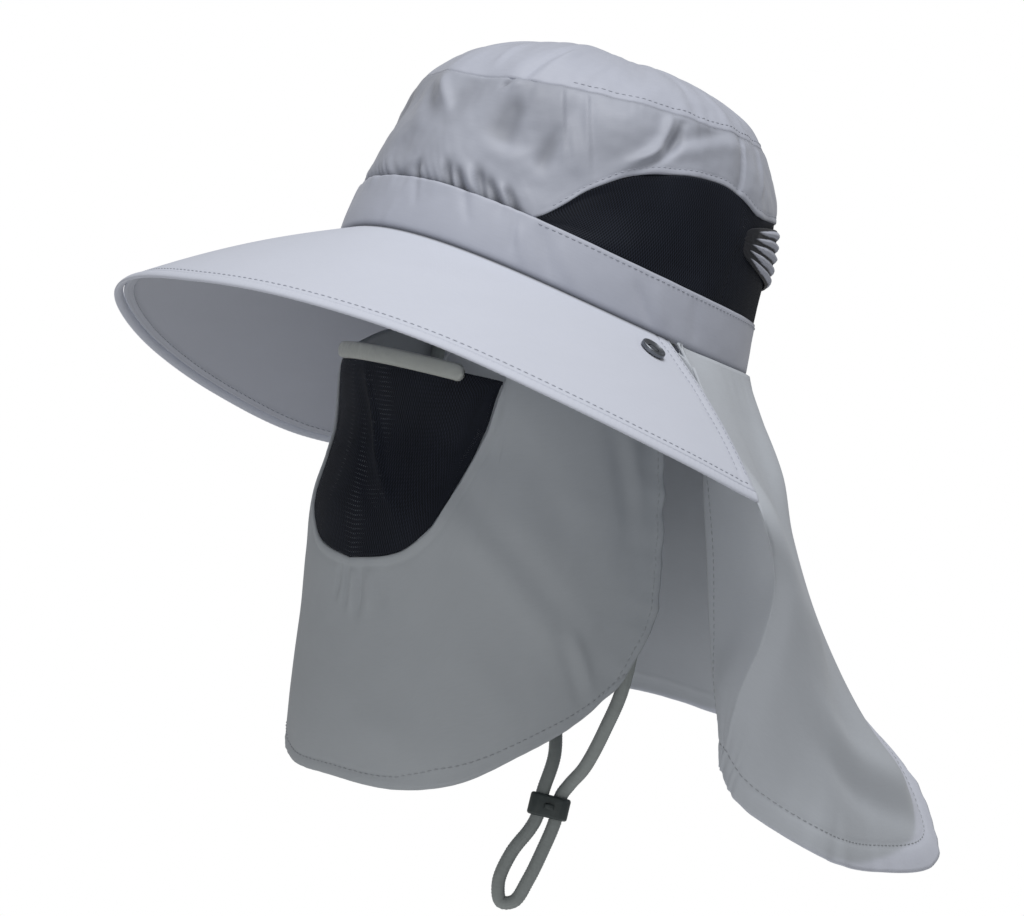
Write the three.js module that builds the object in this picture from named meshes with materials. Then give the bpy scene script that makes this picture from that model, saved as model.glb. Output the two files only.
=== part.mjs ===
// Sun hat with a stiff drooping brim, mesh windows, a long neck flap and a face cover, in millimetres.
// +Z is up the hat's own axis, the wearer faces -Y, and the wearer's left is +X.
// The origin is the middle of the headband's lower edge at the front and back of the head.
import * as THREE from "three";

const turn = Math.PI / 180;

// Driving sizes of the crown and headband.
const headHalfWidth = 81;
const headHalfLength = 98.7;
const bandHeight = 23;
const bandProud = 0.5;
const bandSideDip = 9.8;
const bandBackDip = 7.7;
const crownHeight = 104;
const topSeamHeight = 77.5;
const topSeamRise = 4.5;
const gatherCount = 24;
const gatherDepth = 0.9;
const gatherLength = 11;
const meshInset = 0.2;

// Driving sizes of the brim.
const brimWidth = 100;
const brimLeftEnd = 91;
const brimRightEnd = 103.5;
const brimCornerTurn = 2.4;
const bindingWidth = 4;
const bindingThickness = 2.6;
const snapAngle = 80;
const snapReach = 0.21;
const snapRadius = 5.6;
const snapHoleRadius = 2.4;
const snapHeight = 1.8;

// Driving sizes of the neck flap: half its span at the brim corners, and its fall below the band.
const capeSpan = 160;
const capeDrop = 188;
const capeSeamReach = 4;

// Driving sizes of the face cover: half its width, and its height.
const maskHalfWidth = 84;
const maskHeight = 172;
const maskTop = -54;
const ventAngle = 43.5;
const ventHeight = 83;
const ventRise = 1.2;
const ventSideGap = 0.75;
const trimHeight = 6.8;
const trimRise = 2.7;
const trimAngle = 31;
const trimTilt = 2.4;
const trimWall = 2.4;

// Driving sizes of the cord and its slider.
const cordDiameter = 6;
const sliderHeight = 10;
const sliderWall = 1.6;
const strandOffset = 4.15;

// Walls and clearances.
const fabricWall = 1.2;
const meshWall = 1;
const brimWall = 2;
const bandWall = 1.8;
const gap = 0.3;

// Smooth value of a column of a table at a place along its key column.
function along(rows, key, column, at) {
  const last = rows.length - 1;
  if (at <= rows[0][key]) return rows[0][column];
  if (at >= rows[last][key]) return rows[last][column];
  let i = 0;
  while (rows[i + 1][key] < at) i += 1;
  const slope = (k) => {
    const before = rows[Math.max(k - 1, 0)];
    const after = rows[Math.min(k + 1, last)];
    return (after[column] - before[column]) / (after[key] - before[key]);
  };
  const width = rows[i + 1][key] - rows[i][key];
  const t = (at - rows[i][key]) / width;
  const t2 = t * t;
  const t3 = t2 * t;
  const start = (2 * t3 - 3 * t2 + 1) * rows[i][column] + (t3 - 2 * t2 + t) * width * slope(i);
  const end = (3 * t2 - 2 * t3) * rows[i + 1][column] + (t3 - t2) * width * slope(i + 1);
  return start + end;
}

function bump(offset, width) {
  return Math.exp(-((offset / width) ** 2));
}

function solid(coordinates, faces) {
  const geometry = new THREE.BufferGeometry();
  geometry.setAttribute("position", new THREE.Float32BufferAttribute(coordinates, 3));
  geometry.setIndex(faces);
  return geometry;
}

// Closed solid of a cloth: at(u, v) gives its outer surface, seen with u to the right and v up, and
// the inner one lies one wall behind.
// round closes it on itself along u, and pole draws the last row together in one point.
function cloth(columns, rows, wall, at, { round = false, pole = false } = {}) {
  const count = round ? columns : columns + 1;
  const outer = [];
  for (let j = 0; j <= rows; j += 1) {
    for (let i = 0; i < count; i += 1) outer.push(at(i / columns, j / rows));
  }
  const column = (i) => (round ? (i + count) % count : Math.min(Math.max(i, 0), columns));
  const place = (i, j) => outer[j * count + column(i)];
  const inner = outer.map((point, index) => {
    const i = index % count;
    const j = Math.floor(index / count);
    const alongU = place(i + 1, j).clone().sub(place(i - 1, j));
    const alongV = place(i, Math.min(j + 1, rows)).clone().sub(place(i, Math.max(j - 1, 0)));
    if (pole && j === rows) return point.clone().add(new THREE.Vector3(0, 0, -wall));
    return point.clone().addScaledVector(alongU.cross(alongV).normalize(), -wall);
  });
  const poleIndex = rows * count;
  const outside = (i, j) => (pole && j === rows ? poleIndex : j * count + (i % count));
  const inside = (i, j) => outside(i, j) + outer.length;
  const faces = [];
  const quad = (a, b, c, d) => {
    if (a !== b) faces.push(a, b, c);
    if (c !== d) faces.push(a, c, d);
  };
  for (let j = 0; j < rows; j += 1) {
    for (let i = 0; i < columns; i += 1) {
      quad(outside(i, j), outside(i + 1, j), outside(i + 1, j + 1), outside(i, j + 1));
      quad(inside(i + 1, j), inside(i, j), inside(i, j + 1), inside(i + 1, j + 1));
    }
  }
  for (let i = 0; i < columns; i += 1) {
    quad(outside(i + 1, 0), outside(i, 0), inside(i, 0), inside(i + 1, 0));
    if (!pole) quad(outside(i, rows), outside(i + 1, rows), inside(i + 1, rows), inside(i, rows));
  }
  if (!round) {
    for (let j = 0; j < rows; j += 1) {
      quad(outside(0, j), outside(0, j + 1), inside(0, j + 1), inside(0, j));
      quad(outside(columns, j + 1), outside(columns, j), inside(columns, j), inside(columns, j + 1));
    }
  }
  return solid([...outer, ...inner].flatMap((point) => point.toArray()), faces);
}

const fabrics = {
  crown: { color: "#a9acb4", roughness: 0.85, metalness: 0 },
  brim: { color: "#c5cad6", roughness: 0.8, metalness: 0 },
  flap: { color: "#8d9194", roughness: 0.85, metalness: 0 },
  mask: { color: "#7f8285", roughness: 0.9, metalness: 0 },
  mesh: { color: "#0d0f18", roughness: 0.8, metalness: 0 },
  trim: { color: "#858a8b", roughness: 0.7, metalness: 0 },
  cord: { color: "#666c69", roughness: 0.8, metalness: 0 },
  slider: { color: "#3a4142", roughness: 0.45, metalness: 0 },
  snap: { color: "#70757b", roughness: 0.35, metalness: 0.9 },
};

const hat = new THREE.Group();

function add(name, geometry, finish) {
  const mesh = new THREE.Mesh(geometry, new THREE.MeshStandardMaterial(fabrics[finish]));
  mesh.name = name;
  hat.add(mesh);
  return mesh;
}

// The crown: its half-sizes as shares of the head's, by height as a share of crownHeight.
// lean moves a section back, as a share of headHalfLength.
const crownSections = [
  { height: -0.2, share: 1.013, lean: -0.016 },
  { height: 0, share: 1, lean: -0.016 },
  { height: 0.19, share: 0.983, lean: 0.01 },
  { height: 0.37, share: 0.967, lean: 0.033 },
  { height: 0.56, share: 0.921, lean: 0.041 },
  { height: 0.7, share: 0.855, lean: 0.044 },
  { height: 0.8, share: 0.768, lean: 0.059 },
  { height: 0.87, share: 0.676, lean: 0.085 },
  { height: 0.93, share: 0.532, lean: 0.102 },
  { height: 0.967, share: 0.394, lean: 0.118 },
  { height: 0.99, share: 0.215, lean: 0.123 },
  { height: 1, share: 0, lean: 0.123 },
];

// Soft dents and folds of the crown on both sides of the face: their place, spread and depth.
// height, tall and depth are shares of crownHeight; angle and wide are degrees round from the front.
const crownDents = [
  { angle: 14, height: 0.62, wide: 9, tall: 0.16, depth: 0.022 },
  { angle: 30, height: 0.45, wide: 10, tall: 0.14, depth: 0.014 },
  { angle: 50, height: 0.6, wide: 5, tall: 0.16, depth: 0.018 },
  { angle: 64, height: 0.6, wide: 8, tall: 0.1, depth: -0.02 },
  { angle: 76, height: 0.6, wide: 6, tall: 0.09, depth: 0.024 },
  { angle: 100, height: 0.62, wide: 10, tall: 0.08, depth: -0.012 },
];

function bandLine(angle) {
  const a = angle * turn;
  return -bandSideDip * (1 - Math.cos(2 * a)) / 2 - bandBackDip * (1 - Math.cos(a));
}

function crownPoint(angle, z, inset = 0) {
  const a = angle * turn;
  const level = z / crownHeight;
  const share = along(crownSections, "height", "share", level);
  const lean = along(crownSections, "height", "lean", level) * headHalfLength;
  const aside = Math.abs(angle > 180 ? angle - 360 : angle);
  let push = -inset;
  for (const dent of crownDents) {
    const spread = bump(aside - dent.angle, dent.wide) * bump(level - dent.height, dent.tall);
    push -= dent.depth * crownHeight * spread;
  }
  const above = Math.max(z - bandLine(angle) - bandHeight, 0);
  if (above > 0) push += gatherDepth * Math.cos(gatherCount * a) * bump(above, gatherLength);
  const wide = headHalfWidth * share + push;
  const long = headHalfLength * share + push;
  return new THREE.Vector3(wide * Math.sin(a), lean - long * Math.cos(a), z);
}

// Upper edge of the mesh windows: height above the band as a share of crownHeight, by angle.
const windowEdge = [
  { angle: 46, height: 0.215 },
  { angle: 49, height: 0.25 },
  { angle: 53, height: 0.32 },
  { angle: 57, height: 0.4 },
  { angle: 61, height: 0.46 },
  { angle: 66, height: 0.525 },
  { angle: 72, height: 0.58 },
  { angle: 79, height: 0.625 },
  { angle: 87, height: 0.665 },
  { angle: 98, height: 0.69 },
  { angle: 107, height: 0.675 },
  { angle: 117, height: 0.64 },
  { angle: 140, height: 0.66 },
  { angle: 180, height: 0.665 },
];
const windowStart = 46;
const meshSeamAngle = 108;

function windowTop(angle) {
  const aside = angle > 180 ? 360 - angle : angle;
  return bandLine(angle) + along(windowEdge, "angle", "height", aside) * crownHeight;
}

function topSeam(angle) {
  return topSeamHeight - topSeamRise * Math.cos(angle * turn);
}

const bandColumns = 60;
const crownColumns = 84;
const crownRows = 4;
const topColumns = 44;
const topRows = 5;

add("headband", cloth(bandColumns, 1, bandWall, (u, v) => {
  const angle = u * 360;
  return crownPoint(angle, bandLine(angle) + v * bandHeight, -bandProud);
}, { round: true }), "crown");

add("crown_side", cloth(crownColumns, crownRows, fabricWall, (u, v) => {
  const angle = u * 360;
  const aside = Math.min(angle, 360 - angle);
  const low = aside < windowStart ? bandLine(angle) + bandHeight + gap : windowTop(angle) + gap;
  return crownPoint(angle, low + v * (topSeam(angle) - low));
}, { round: true }), "crown");

add("crown_top", cloth(topColumns, topRows, fabricWall, (u, v) => {
  const angle = u * 360;
  const low = topSeam(angle) + 2 * gap;
  return crownPoint(angle, low + Math.sin(v * 90 * turn) * (crownHeight - low));
}, { round: true, pole: true }), "crown");

const meshRows = 3;

function meshPanel(name, from, to, columns) {
  add(name, cloth(columns, meshRows, meshWall, (u, v) => {
    const angle = from + u * (to - from);
    const low = bandLine(angle) + bandHeight + gap;
    return crownPoint(angle, low + v * (windowTop(angle) - gap - low), meshInset);
  }), "mesh");
}

const sideMeshColumns = 12;
const backMeshColumns = 22;
const seamGapAngle = 0.3;
const tipGapAngle = 1.5;
const meshFrom = windowStart + tipGapAngle;
const meshTo = meshSeamAngle - seamGapAngle;
meshPanel("mesh_left", meshFrom, meshTo, sideMeshColumns);
meshPanel("mesh_back", meshTo + 2 * seamGapAngle, 360 - meshTo - 2 * seamGapAngle, backMeshColumns);
meshPanel("mesh_right", 360 - meshTo, 360 - meshFrom, sideMeshColumns);

// Ruched panel over the back mesh: pointed at both ends, with ridges that run round the head.
const ruchedStart = 111;
const ruchedMiddle = 0.515;
const ruchedHalfHeight = 0.125;
const ruchedRidges = 5;
const ruchedDepth = 1.6;
const ruchedProud = 0.9;
const ruchedTaper = 0.35;
const ruchedTip = 1.5;
const ruchedColumns = 16;

add("back_gathers", cloth(ruchedColumns, 2 * ruchedRidges, fabricWall, (u, v) => {
  const angle = ruchedStart + u * (360 - 2 * ruchedStart);
  const half = ruchedHalfHeight * crownHeight * Math.sin(u * Math.PI) ** ruchedTaper + ruchedTip;
  const ridge = ruchedDepth * Math.sin(v * ruchedRidges * Math.PI) ** 2;
  const z = bandLine(angle) + ruchedMiddle * crownHeight + (2 * v - 1) * half;
  return crownPoint(angle, z, -(fabricWall + ruchedProud + ridge));
}), "crown");

// The brim: how far its rim lies out from the band and below it, as shares of brimWidth.
const brimRows = [
  { angle: 0, out: 0.867, drop: 0.445 },
  { angle: 20, out: 0.866, drop: 0.438 },
  { angle: 40, out: 0.868, drop: 0.455 },
  { angle: 60, out: 0.854, drop: 0.517 },
  { angle: 76, out: 0.834, drop: 0.57 },
  { angle: 91, out: 0.802, drop: 0.611 },
  { angle: 104, out: 0.775, drop: 0.592 },
];
const brimCamber = 0.03;

function brimPoint(angle, reach) {
  const seam = crownPoint(angle, bandLine(angle), -bandProud);
  const a = angle * turn;
  const out = along(brimRows, "angle", "out", Math.abs(angle)) * brimWidth;
  const drop = along(brimRows, "angle", "drop", Math.abs(angle)) * brimWidth;
  const rim = seam.clone().add(new THREE.Vector3(out * Math.sin(a), -out * Math.cos(a), -drop));
  const point = seam.lerp(rim, reach);
  point.z += brimCamber * brimWidth * Math.sin(reach * Math.PI) - 2 * gap;
  return point;
}

function brimAngle(share, reach) {
  const left = brimLeftEnd - reach * brimCornerTurn;
  const right = reach * brimCornerTurn - brimRightEnd;
  return right + share * (left - right);
}

const bindingReach = 1 - bindingWidth / brimWidth;
const brimColumns = 44;
const brimSteps = 4;

add("brim", cloth(brimColumns, brimSteps, brimWall, (u, v) => {
  const reach = v * (bindingReach - gap / brimWidth);
  return brimPoint(brimAngle(1 - u, reach), reach);
}), "brim");

// The binding's section: places across its width as reach and up its thickness as lift.
const bindingSection = [
  { reach: 0, lift: 0.5 },
  { reach: 0.7, lift: 0.5 },
  { reach: 1, lift: 0.15 },
  { reach: 1, lift: -0.2 },
  { reach: 0.7, lift: -0.5 },
  { reach: 0, lift: -0.5 },
];

function sweep(steps, section, at) {
  const sides = section.length;
  const points = [];
  const faces = [];
  for (let i = 0; i <= steps; i += 1) {
    for (const corner of section) points.push(...at(i / steps, corner).toArray());
  }
  for (let i = 0; i < steps; i += 1) {
    for (let k = 0; k < sides; k += 1) {
      const a = i * sides + k;
      const b = i * sides + (k + 1) % sides;
      faces.push(a, b, b + sides, a, b + sides, a + sides);
    }
  }
  const end = steps * sides;
  for (let k = 1; k < sides - 1; k += 1) {
    faces.push(0, k + 1, k);
    faces.push(end, end + k, end + k + 1);
  }
  return solid(points, faces);
}

add("brim_binding", sweep(brimColumns, bindingSection, (u, corner) => {
  const reach = bindingReach + corner.reach * bindingWidth / brimWidth;
  const point = brimPoint(brimAngle(u, reach), reach);
  point.z += corner.lift * bindingThickness - brimWall / 2;
  return point;
}), "brim");

// A snap's ring stands on the brim's upper face, square to it. Its section goes out from the hole as
// a share of the ring's width, and up as a share of snapHeight.
const snapSection = [
  { out: 0, up: 0 },
  { out: 1, up: 0 },
  { out: 1, up: 0.4 },
  { out: 0.7, up: 1 },
  { out: 0.25, up: 0.85 },
  { out: 0, up: 0.4 },
  { out: 0, up: 0 },
];
const snapSides = 16;
const nearReach = 0.05;
const nearAngle = 3;

function snapRing() {
  const profile = snapSection.map(({ out, up }) => {
    return new THREE.Vector2(snapHoleRadius + out * (snapRadius - snapHoleRadius), up * snapHeight);
  });
  return new THREE.LatheGeometry(profile, snapSides);
}

for (const [name, side] of [["snap_left", 1], ["snap_right", -1]]) {
  const centre = brimPoint(side * snapAngle, snapReach);
  const outward = brimPoint(side * snapAngle, snapReach + nearReach).sub(centre);
  const round = brimPoint(side * snapAngle + nearAngle, snapReach).sub(centre);
  const normal = outward.cross(round).normalize();
  if (normal.z < 0) normal.negate();
  const ring = add(name, snapRing(), "snap");
  ring.quaternion.setFromUnitVectors(new THREE.Vector3(0, 1, 0), normal);
  ring.position.copy(centre).addScaledVector(normal, 2 * gap);
}

// The neck flap: lines that run down the cloth, from its free front edge on the wearer's left round
// the back to the one on the right. out and back are places at each of capeLevels, as shares of
// capeSpan; top and hem are heights as shares of capeDrop, and capeLevels are shares of the way down.
const capeLevels = [0, 0.2, 0.345, 0.5, 0.65, 0.8, 1];
const capeLines = [
  { line: "left free edge", top: 0.175, hem: 0.965,
    out: [0.54, 0.555, 0.575, 0.597, 0.62, 0.65, 0.715],
    back: [0.09, 0.17, 0.205, 0.245, 0.28, 0.31, 0.345] },
  { line: "left turned in", top: 0.165, hem: 0.975,
    out: [0.57, 0.7, 0.79, 0.81, 0.79, 0.74, 0.725],
    back: [0.05, 0.085, 0.12, 0.175, 0.215, 0.245, 0.33] },
  { line: "left ridge", top: 0.15, hem: 0.995,
    out: [0.6, 0.82, 1, 0.98, 0.94, 0.865, 0.745],
    back: [0.03, 0.012, -0.003, 0.12, 0.165, 0.2, 0.32] },
  { line: "behind left ridge", top: 0.108, hem: 1.05,
    out: [0.522, 0.76, 0.965, 0.985, 0.96, 0.91, 0.8],
    back: [0.03, 0.06, 0.08, 0.19, 0.235, 0.27, 0.34] },
  { line: "left side", top: 0.112, hem: 1.122,
    out: [0.495, 0.66, 0.82, 0.9, 0.92, 0.93, 0.95],
    back: [0.195, 0.24, 0.25, 0.36, 0.44, 0.5, 0.52] },
  { line: "left corner", top: 0.112, hem: 1.132,
    out: [0.455, 0.61, 0.72, 0.81, 0.855, 0.885, 0.915],
    back: [0.31, 0.35, 0.38, 0.465, 0.56, 0.67, 0.8] },
  { line: "left tail", top: 0.111, hem: 1.075,
    out: [0.408, 0.567, 0.633, 0.712, 0.767, 0.81, 0.835],
    back: [0.4, 0.459, 0.495, 0.558, 0.682, 0.865, 1.115] },
  { line: "left quarter", top: 0.105, hem: 0.905,
    out: [0.33, 0.38, 0.42, 0.463, 0.5, 0.54, 0.628],
    back: [0.49, 0.55, 0.61, 0.68, 0.77, 0.87, 1.165] },
  { line: "left half back", top: 0.101, hem: 0.825,
    out: [0.22, 0.25, 0.275, 0.294, 0.312, 0.33, 0.365],
    back: [0.572, 0.65, 0.71, 0.78, 0.86, 0.96, 1.175] },
  { line: "centre back", top: 0.095, hem: 0.865,
    out: [0, 0, 0, 0, 0, 0, 0],
    back: [0.636, 0.7, 0.75, 0.82, 0.9, 1.0, 1.18] },
  { line: "right half back", top: 0.101, hem: 0.857,
    out: [-0.22, -0.23, -0.25, -0.262, -0.275, -0.288, -0.31],
    back: [0.572, 0.612, 0.645, 0.68, 0.725, 0.78, 0.86] },
  { line: "right tail", top: 0.111, hem: 0.985,
    out: [-0.408, -0.5, -0.562, -0.606, -0.637, -0.668, -0.69],
    back: [0.4, 0.42, 0.44, 0.47, 0.515, 0.575, 0.655] },
  { line: "right side", top: 0.112, hem: 1.02,
    out: [-0.495, -0.64, -0.79, -0.865, -0.885, -0.89, -0.88],
    back: [0.25, 0.32, 0.355, 0.395, 0.42, 0.43, 0.455] },
  { line: "behind right ridge", top: 0.108, hem: 0.99,
    out: [-0.52, -0.74, -0.91, -0.92, -0.9, -0.86, -0.77],
    back: [0.18, 0.255, 0.31, 0.36, 0.38, 0.39, 0.41] },
  { line: "right ridge", top: 0.15, hem: 0.965,
    out: [-0.6, -0.8, -0.94, -0.915, -0.875, -0.815, -0.715],
    back: [0.17, 0.235, 0.27, 0.325, 0.35, 0.36, 0.385] },
  { line: "right turned in", top: 0.165, hem: 0.98,
    out: [-0.57, -0.7, -0.78, -0.79, -0.77, -0.73, -0.71],
    back: [0.15, 0.215, 0.25, 0.29, 0.31, 0.32, 0.37] },
  { line: "right free edge", top: 0.175, hem: 0.99,
    out: [-0.54, -0.555, -0.575, -0.597, -0.62, -0.65, -0.715],
    back: [0.12, 0.19, 0.22, 0.255, 0.285, 0.315, 0.35] },
];

const capeRidges = [2, 14];

// The cloth is folded sharply at its two ridges, so each level is three smooth stretches.
function capeSection(v) {
  const points = capeLines.map((row) => {
    const rows = capeLevels.map((level, k) => ({ level, out: row.out[k], back: row.back[k] }));
    const out = along(rows, "level", "out", v) * capeSpan;
    const back = along(rows, "level", "back", v) * capeSpan;
    return new THREE.Vector3(out, back, -(row.top + v * (row.hem - row.top)) * capeDrop);
  });
  const ends = [0, ...capeRidges, points.length - 1];
  return capeRidges.concat(ends[ends.length - 1]).map((to, k) => {
    const from = ends[k];
    return { from, to, curve: new THREE.CatmullRomCurve3(points.slice(from, to + 1), false, "centripetal") };
  });
}

const columnsPerLine = 3;
const capeColumns = columnsPerLine * (capeLines.length - 1);
const capeRows = 10;
const capeSections = Array.from({ length: capeRows + 1 }, (_, j) => capeSection(j / capeRows));

add("neck_flap", cloth(capeColumns, capeRows, fabricWall, (u, v) => {
  const line = (1 - u) * (capeLines.length - 1);
  const stretch = capeSections[Math.round(v * capeRows)].find(({ to }) => line <= to);
  const point = stretch.curve.getPoint((line - stretch.from) / (stretch.to - stretch.from));
  const seam = bandLine(Math.atan2(point.x, -point.y) / turn);
  if (v === 0 && point.z > seam - capeSeamReach) point.z = seam - 2.5 * gap;
  return point;
}), "flap");

// The face cover: a section's half-width and reach to the front as shares of maskHalfWidth, and how
// far round its rear edge lies in degrees, by height as a share of maskHeight below its top.
const maskSections = [
  { down: -0.2, wide: 0.955, front: 0.97, rear: 94 },
  { down: 0, wide: 0.96, front: 0.96, rear: 98 },
  { down: 0.15, wide: 0.975, front: 0.87, rear: 104 },
  { down: 0.24, wide: 0.985, front: 0.88, rear: 107 },
  { down: 0.35, wide: 0.99, front: 0.91, rear: 110 },
  { down: 0.47, wide: 0.975, front: 0.87, rear: 114 },
  { down: 0.6, wide: 0.95, front: 0.825, rear: 110 },
  { down: 0.77, wide: 0.92, front: 0.785, rear: 104 },
  { down: 0.9, wide: 0.885, front: 0.745, rear: 100 },
  { down: 1.02, wide: 0.85, front: 0.68, rear: 98 },
];

// The hem and the top edge: distance below maskTop as a share of maskHeight, by place round the
// cloth from -1 at its right edge to 1 at its left one.
const maskHem = [
  { round: -1, down: 0.62 },
  { round: -0.91, down: 0.73 },
  { round: -0.76, down: 0.83 },
  { round: -0.55, down: 0.925 },
  { round: -0.38, down: 0.968 },
  { round: -0.2, down: 1 },
  { round: 0, down: 1.005 },
  { round: 0.3, down: 1 },
  { round: 0.55, down: 0.94 },
  { round: 0.76, down: 0.83 },
  { round: 0.91, down: 0.73 },
  { round: 1, down: 0.62 },
];
const maskUpper = [
  { round: 0, down: 0 },
  { round: 0.27, down: 0 },
  { round: 0.36, down: -0.03 },
  { round: 0.55, down: -0.07 },
  { round: 0.78, down: -0.14 },
  { round: 1, down: -0.165 },
];

function maskPoint(angle, z, inset = 0) {
  const down = (maskTop - z) / maskHeight;
  const wide = along(maskSections, "down", "wide", down) * maskHalfWidth - inset;
  const front = along(maskSections, "down", "front", down) * maskHalfWidth - inset;
  const a = angle * turn;
  const side = Math.sin(Math.max(Math.min(a, Math.PI / 2), -Math.PI / 2));
  return new THREE.Vector3(wide * side, -front * Math.cos(a), z);
}

function maskEdge(rows, round) {
  return maskTop - along(rows, "round", "down", round) * maskHeight;
}

// The cut-out for the net: its depth as a share of ventHeight, by share of ventAngle to each side.
const ventRows = [
  { side: 0, depth: 1 },
  { side: 0.3, depth: 0.964 },
  { side: 0.465, depth: 0.92 },
  { side: 0.57, depth: 0.86 },
  { side: 0.667, depth: 0.78 },
  { side: 0.717, depth: 0.7 },
  { side: 0.78, depth: 0.52 },
  { side: 0.853, depth: 0.324 },
  { side: 0.915, depth: 0.206 },
  { side: 1, depth: 0 },
];

function ventEdge(angle) {
  return maskTop - ventHeight * along(ventRows, "side", "depth", Math.abs(angle) / ventAngle);
}

// Columns crowd towards the vent's steep sides, where the cut-out runs nearly straight down.
const maskColumns = 40;
const maskRows = 6;
const ventColumns = 20;
const ventSteps = 5;
const trimColumns = 16;
const maskRear = 104;

function ventShare(step) {
  return Math.sin((step / (ventColumns / 2)) * 90 * turn);
}

add("face_mask", cloth(maskColumns, maskRows, fabricWall, (u, v) => {
  const step = u * maskColumns - maskColumns / 2;
  const inVent = Math.abs(step) <= ventColumns / 2;
  const beyond = (2 * Math.abs(step) - ventColumns) / (maskColumns - ventColumns);
  const asideAngle = ventAngle + beyond * (maskRear - ventAngle);
  const atTop = inVent ? ventShare(step) * ventAngle : Math.sign(step) * asideAngle;
  const round = atTop / maskRear;
  const low = maskEdge(maskHem, round);
  const edge = maskEdge(maskUpper, Math.abs(round));
  const high = inVent ? Math.min(ventEdge(atTop), edge) : edge;
  const z = low + v * (high - low);
  const rear = along(maskSections, "down", "rear", (maskTop - z) / maskHeight);
  const widen = Math.max(Math.abs(round) - 0.5, 0) * 2;
  return maskPoint(atTop + Math.sign(round) * widen * (rear - maskRear), z);
}), "mask");

add("nose_vent", cloth(ventColumns, ventSteps, meshWall, (u, v) => {
  const share = ventShare((u - 0.5) * ventColumns);
  const angle = share * (ventAngle - ventSideGap);
  const high = maskTop + ventRise;
  const low = Math.min(ventEdge(share * ventAngle) + 2 * gap, maskTop);
  return maskPoint(angle, low + v * (high - low), meshInset);
}), "mesh");

// The nose bar lies over the net's top edge, a little askew.
add("nose_trim", cloth(trimColumns, 1, trimWall, (u, v) => {
  const angle = (2 * u - 1) * trimAngle;
  const slant = maskHalfWidth * angle * turn * Math.tan(trimTilt * turn);
  const z = maskTop + trimRise - slant + (v - 0.5) * trimHeight;
  return maskPoint(angle, z, -(trimWall + gap));
}), "trim");

// The chin cord: its route from the left side of the headband, through the slider, round the loop,
// back through the slider and up to the right side. The points are places, chosen by hand.
const cordRoute = [
  [76, 6, -6],
  [75, 7, -28],
  [75, 14, -64],
  [71, 27, -112],
  [58, 43, -160],
  [42, 53, -182],
  [24, 63, -200],
  [11, 68.5, -209],
  [7.6, 68.2, -215],
  [7.6, 68.2, -226],
  [6, 66.5, -240],
  [4, 64, -254],
  [1.5, 61, -264.5],
  [-2.3, 57, -266],
  [-4.2, 54.6, -258],
  [-2.5, 56.5, -244],
  [1.2, 60.6, -232],
  [2.4, 61.8, -226],
  [2.4, 61.8, -215],
  [1, 64.5, -196],
  [-14, 66, -172],
  [-46, 48, -134],
  [-71, 24, -92],
  [-76, 10, -50],
  [-75, 7, -28],
  [-76, 6, -6],
];
const cordSides = 8;
const cordSteps = 72;

const cordPoints = cordRoute.map((p) => new THREE.Vector3(...p));
const cordPath = new THREE.CatmullRomCurve3(cordPoints, false, "centripetal");
const cordShape = new THREE.Shape(Array.from({ length: cordSides }, (_, k) => {
  const a = (2 * Math.PI * k) / cordSides;
  return new THREE.Vector2(Math.cos(a), Math.sin(a)).multiplyScalar(cordDiameter / 2);
}));
add("chin_cord", new THREE.ExtrudeGeometry(cordShape, { steps: cordSteps, extrudePath: cordPath }), "cord");

// The slider: a moulded block with two round holes, turned to stand square across the two strands.
const sliderCentre = new THREE.Vector3(5, 65, -220.5);
const sliderTurn = 50;
const sliderBevel = 0.5;
const sliderCurveSegments = 6;
const holeRadius = cordDiameter / 2 + gap;
const sliderHalfThickness = holeRadius + sliderWall;

function sliderShape() {
  const shape = new THREE.Shape();
  const end = sliderHalfThickness - sliderBevel;
  shape.absarc(strandOffset, 0, end, -Math.PI / 2, Math.PI / 2, false);
  shape.absarc(-strandOffset, 0, end, Math.PI / 2, 1.5 * Math.PI, false);
  for (const side of [-1, 1]) {
    const hole = new THREE.Path();
    hole.absarc(side * strandOffset, 0, holeRadius + sliderBevel, 0, 2 * Math.PI, true);
    shape.holes.push(hole);
  }
  return shape;
}

const slider = add("cord_slider", new THREE.ExtrudeGeometry(sliderShape(), {
  depth: sliderHeight - 2 * sliderBevel,
  curveSegments: sliderCurveSegments,
  bevelThickness: sliderBevel,
  bevelSize: sliderBevel,
  bevelSegments: 1,
}), "slider");
slider.geometry.translate(0, 0, -sliderHeight / 2 + sliderBevel);
slider.rotation.z = sliderTurn * turn;
slider.position.copy(sliderCentre);

export default hat;
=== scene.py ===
# %% [markdown]
# # A sun hat with a neck flap and a face cover
# A hat of this kind is sewn from thin grey cloth: a crown gathered onto a headband, a stiff brim that
# droops over the face, a long flap that hangs behind, and a cover for nose and mouth. Black net lets
# the air through at the sides, the back and the nose. In this lesson each of these is one named piece,
# laid over the hat's plain solids, in metres and in the same places as they are.

# %% The frame
import copy
import math
import bpy
import numpy as np
from mathutils import Matrix, Vector, noise


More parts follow.
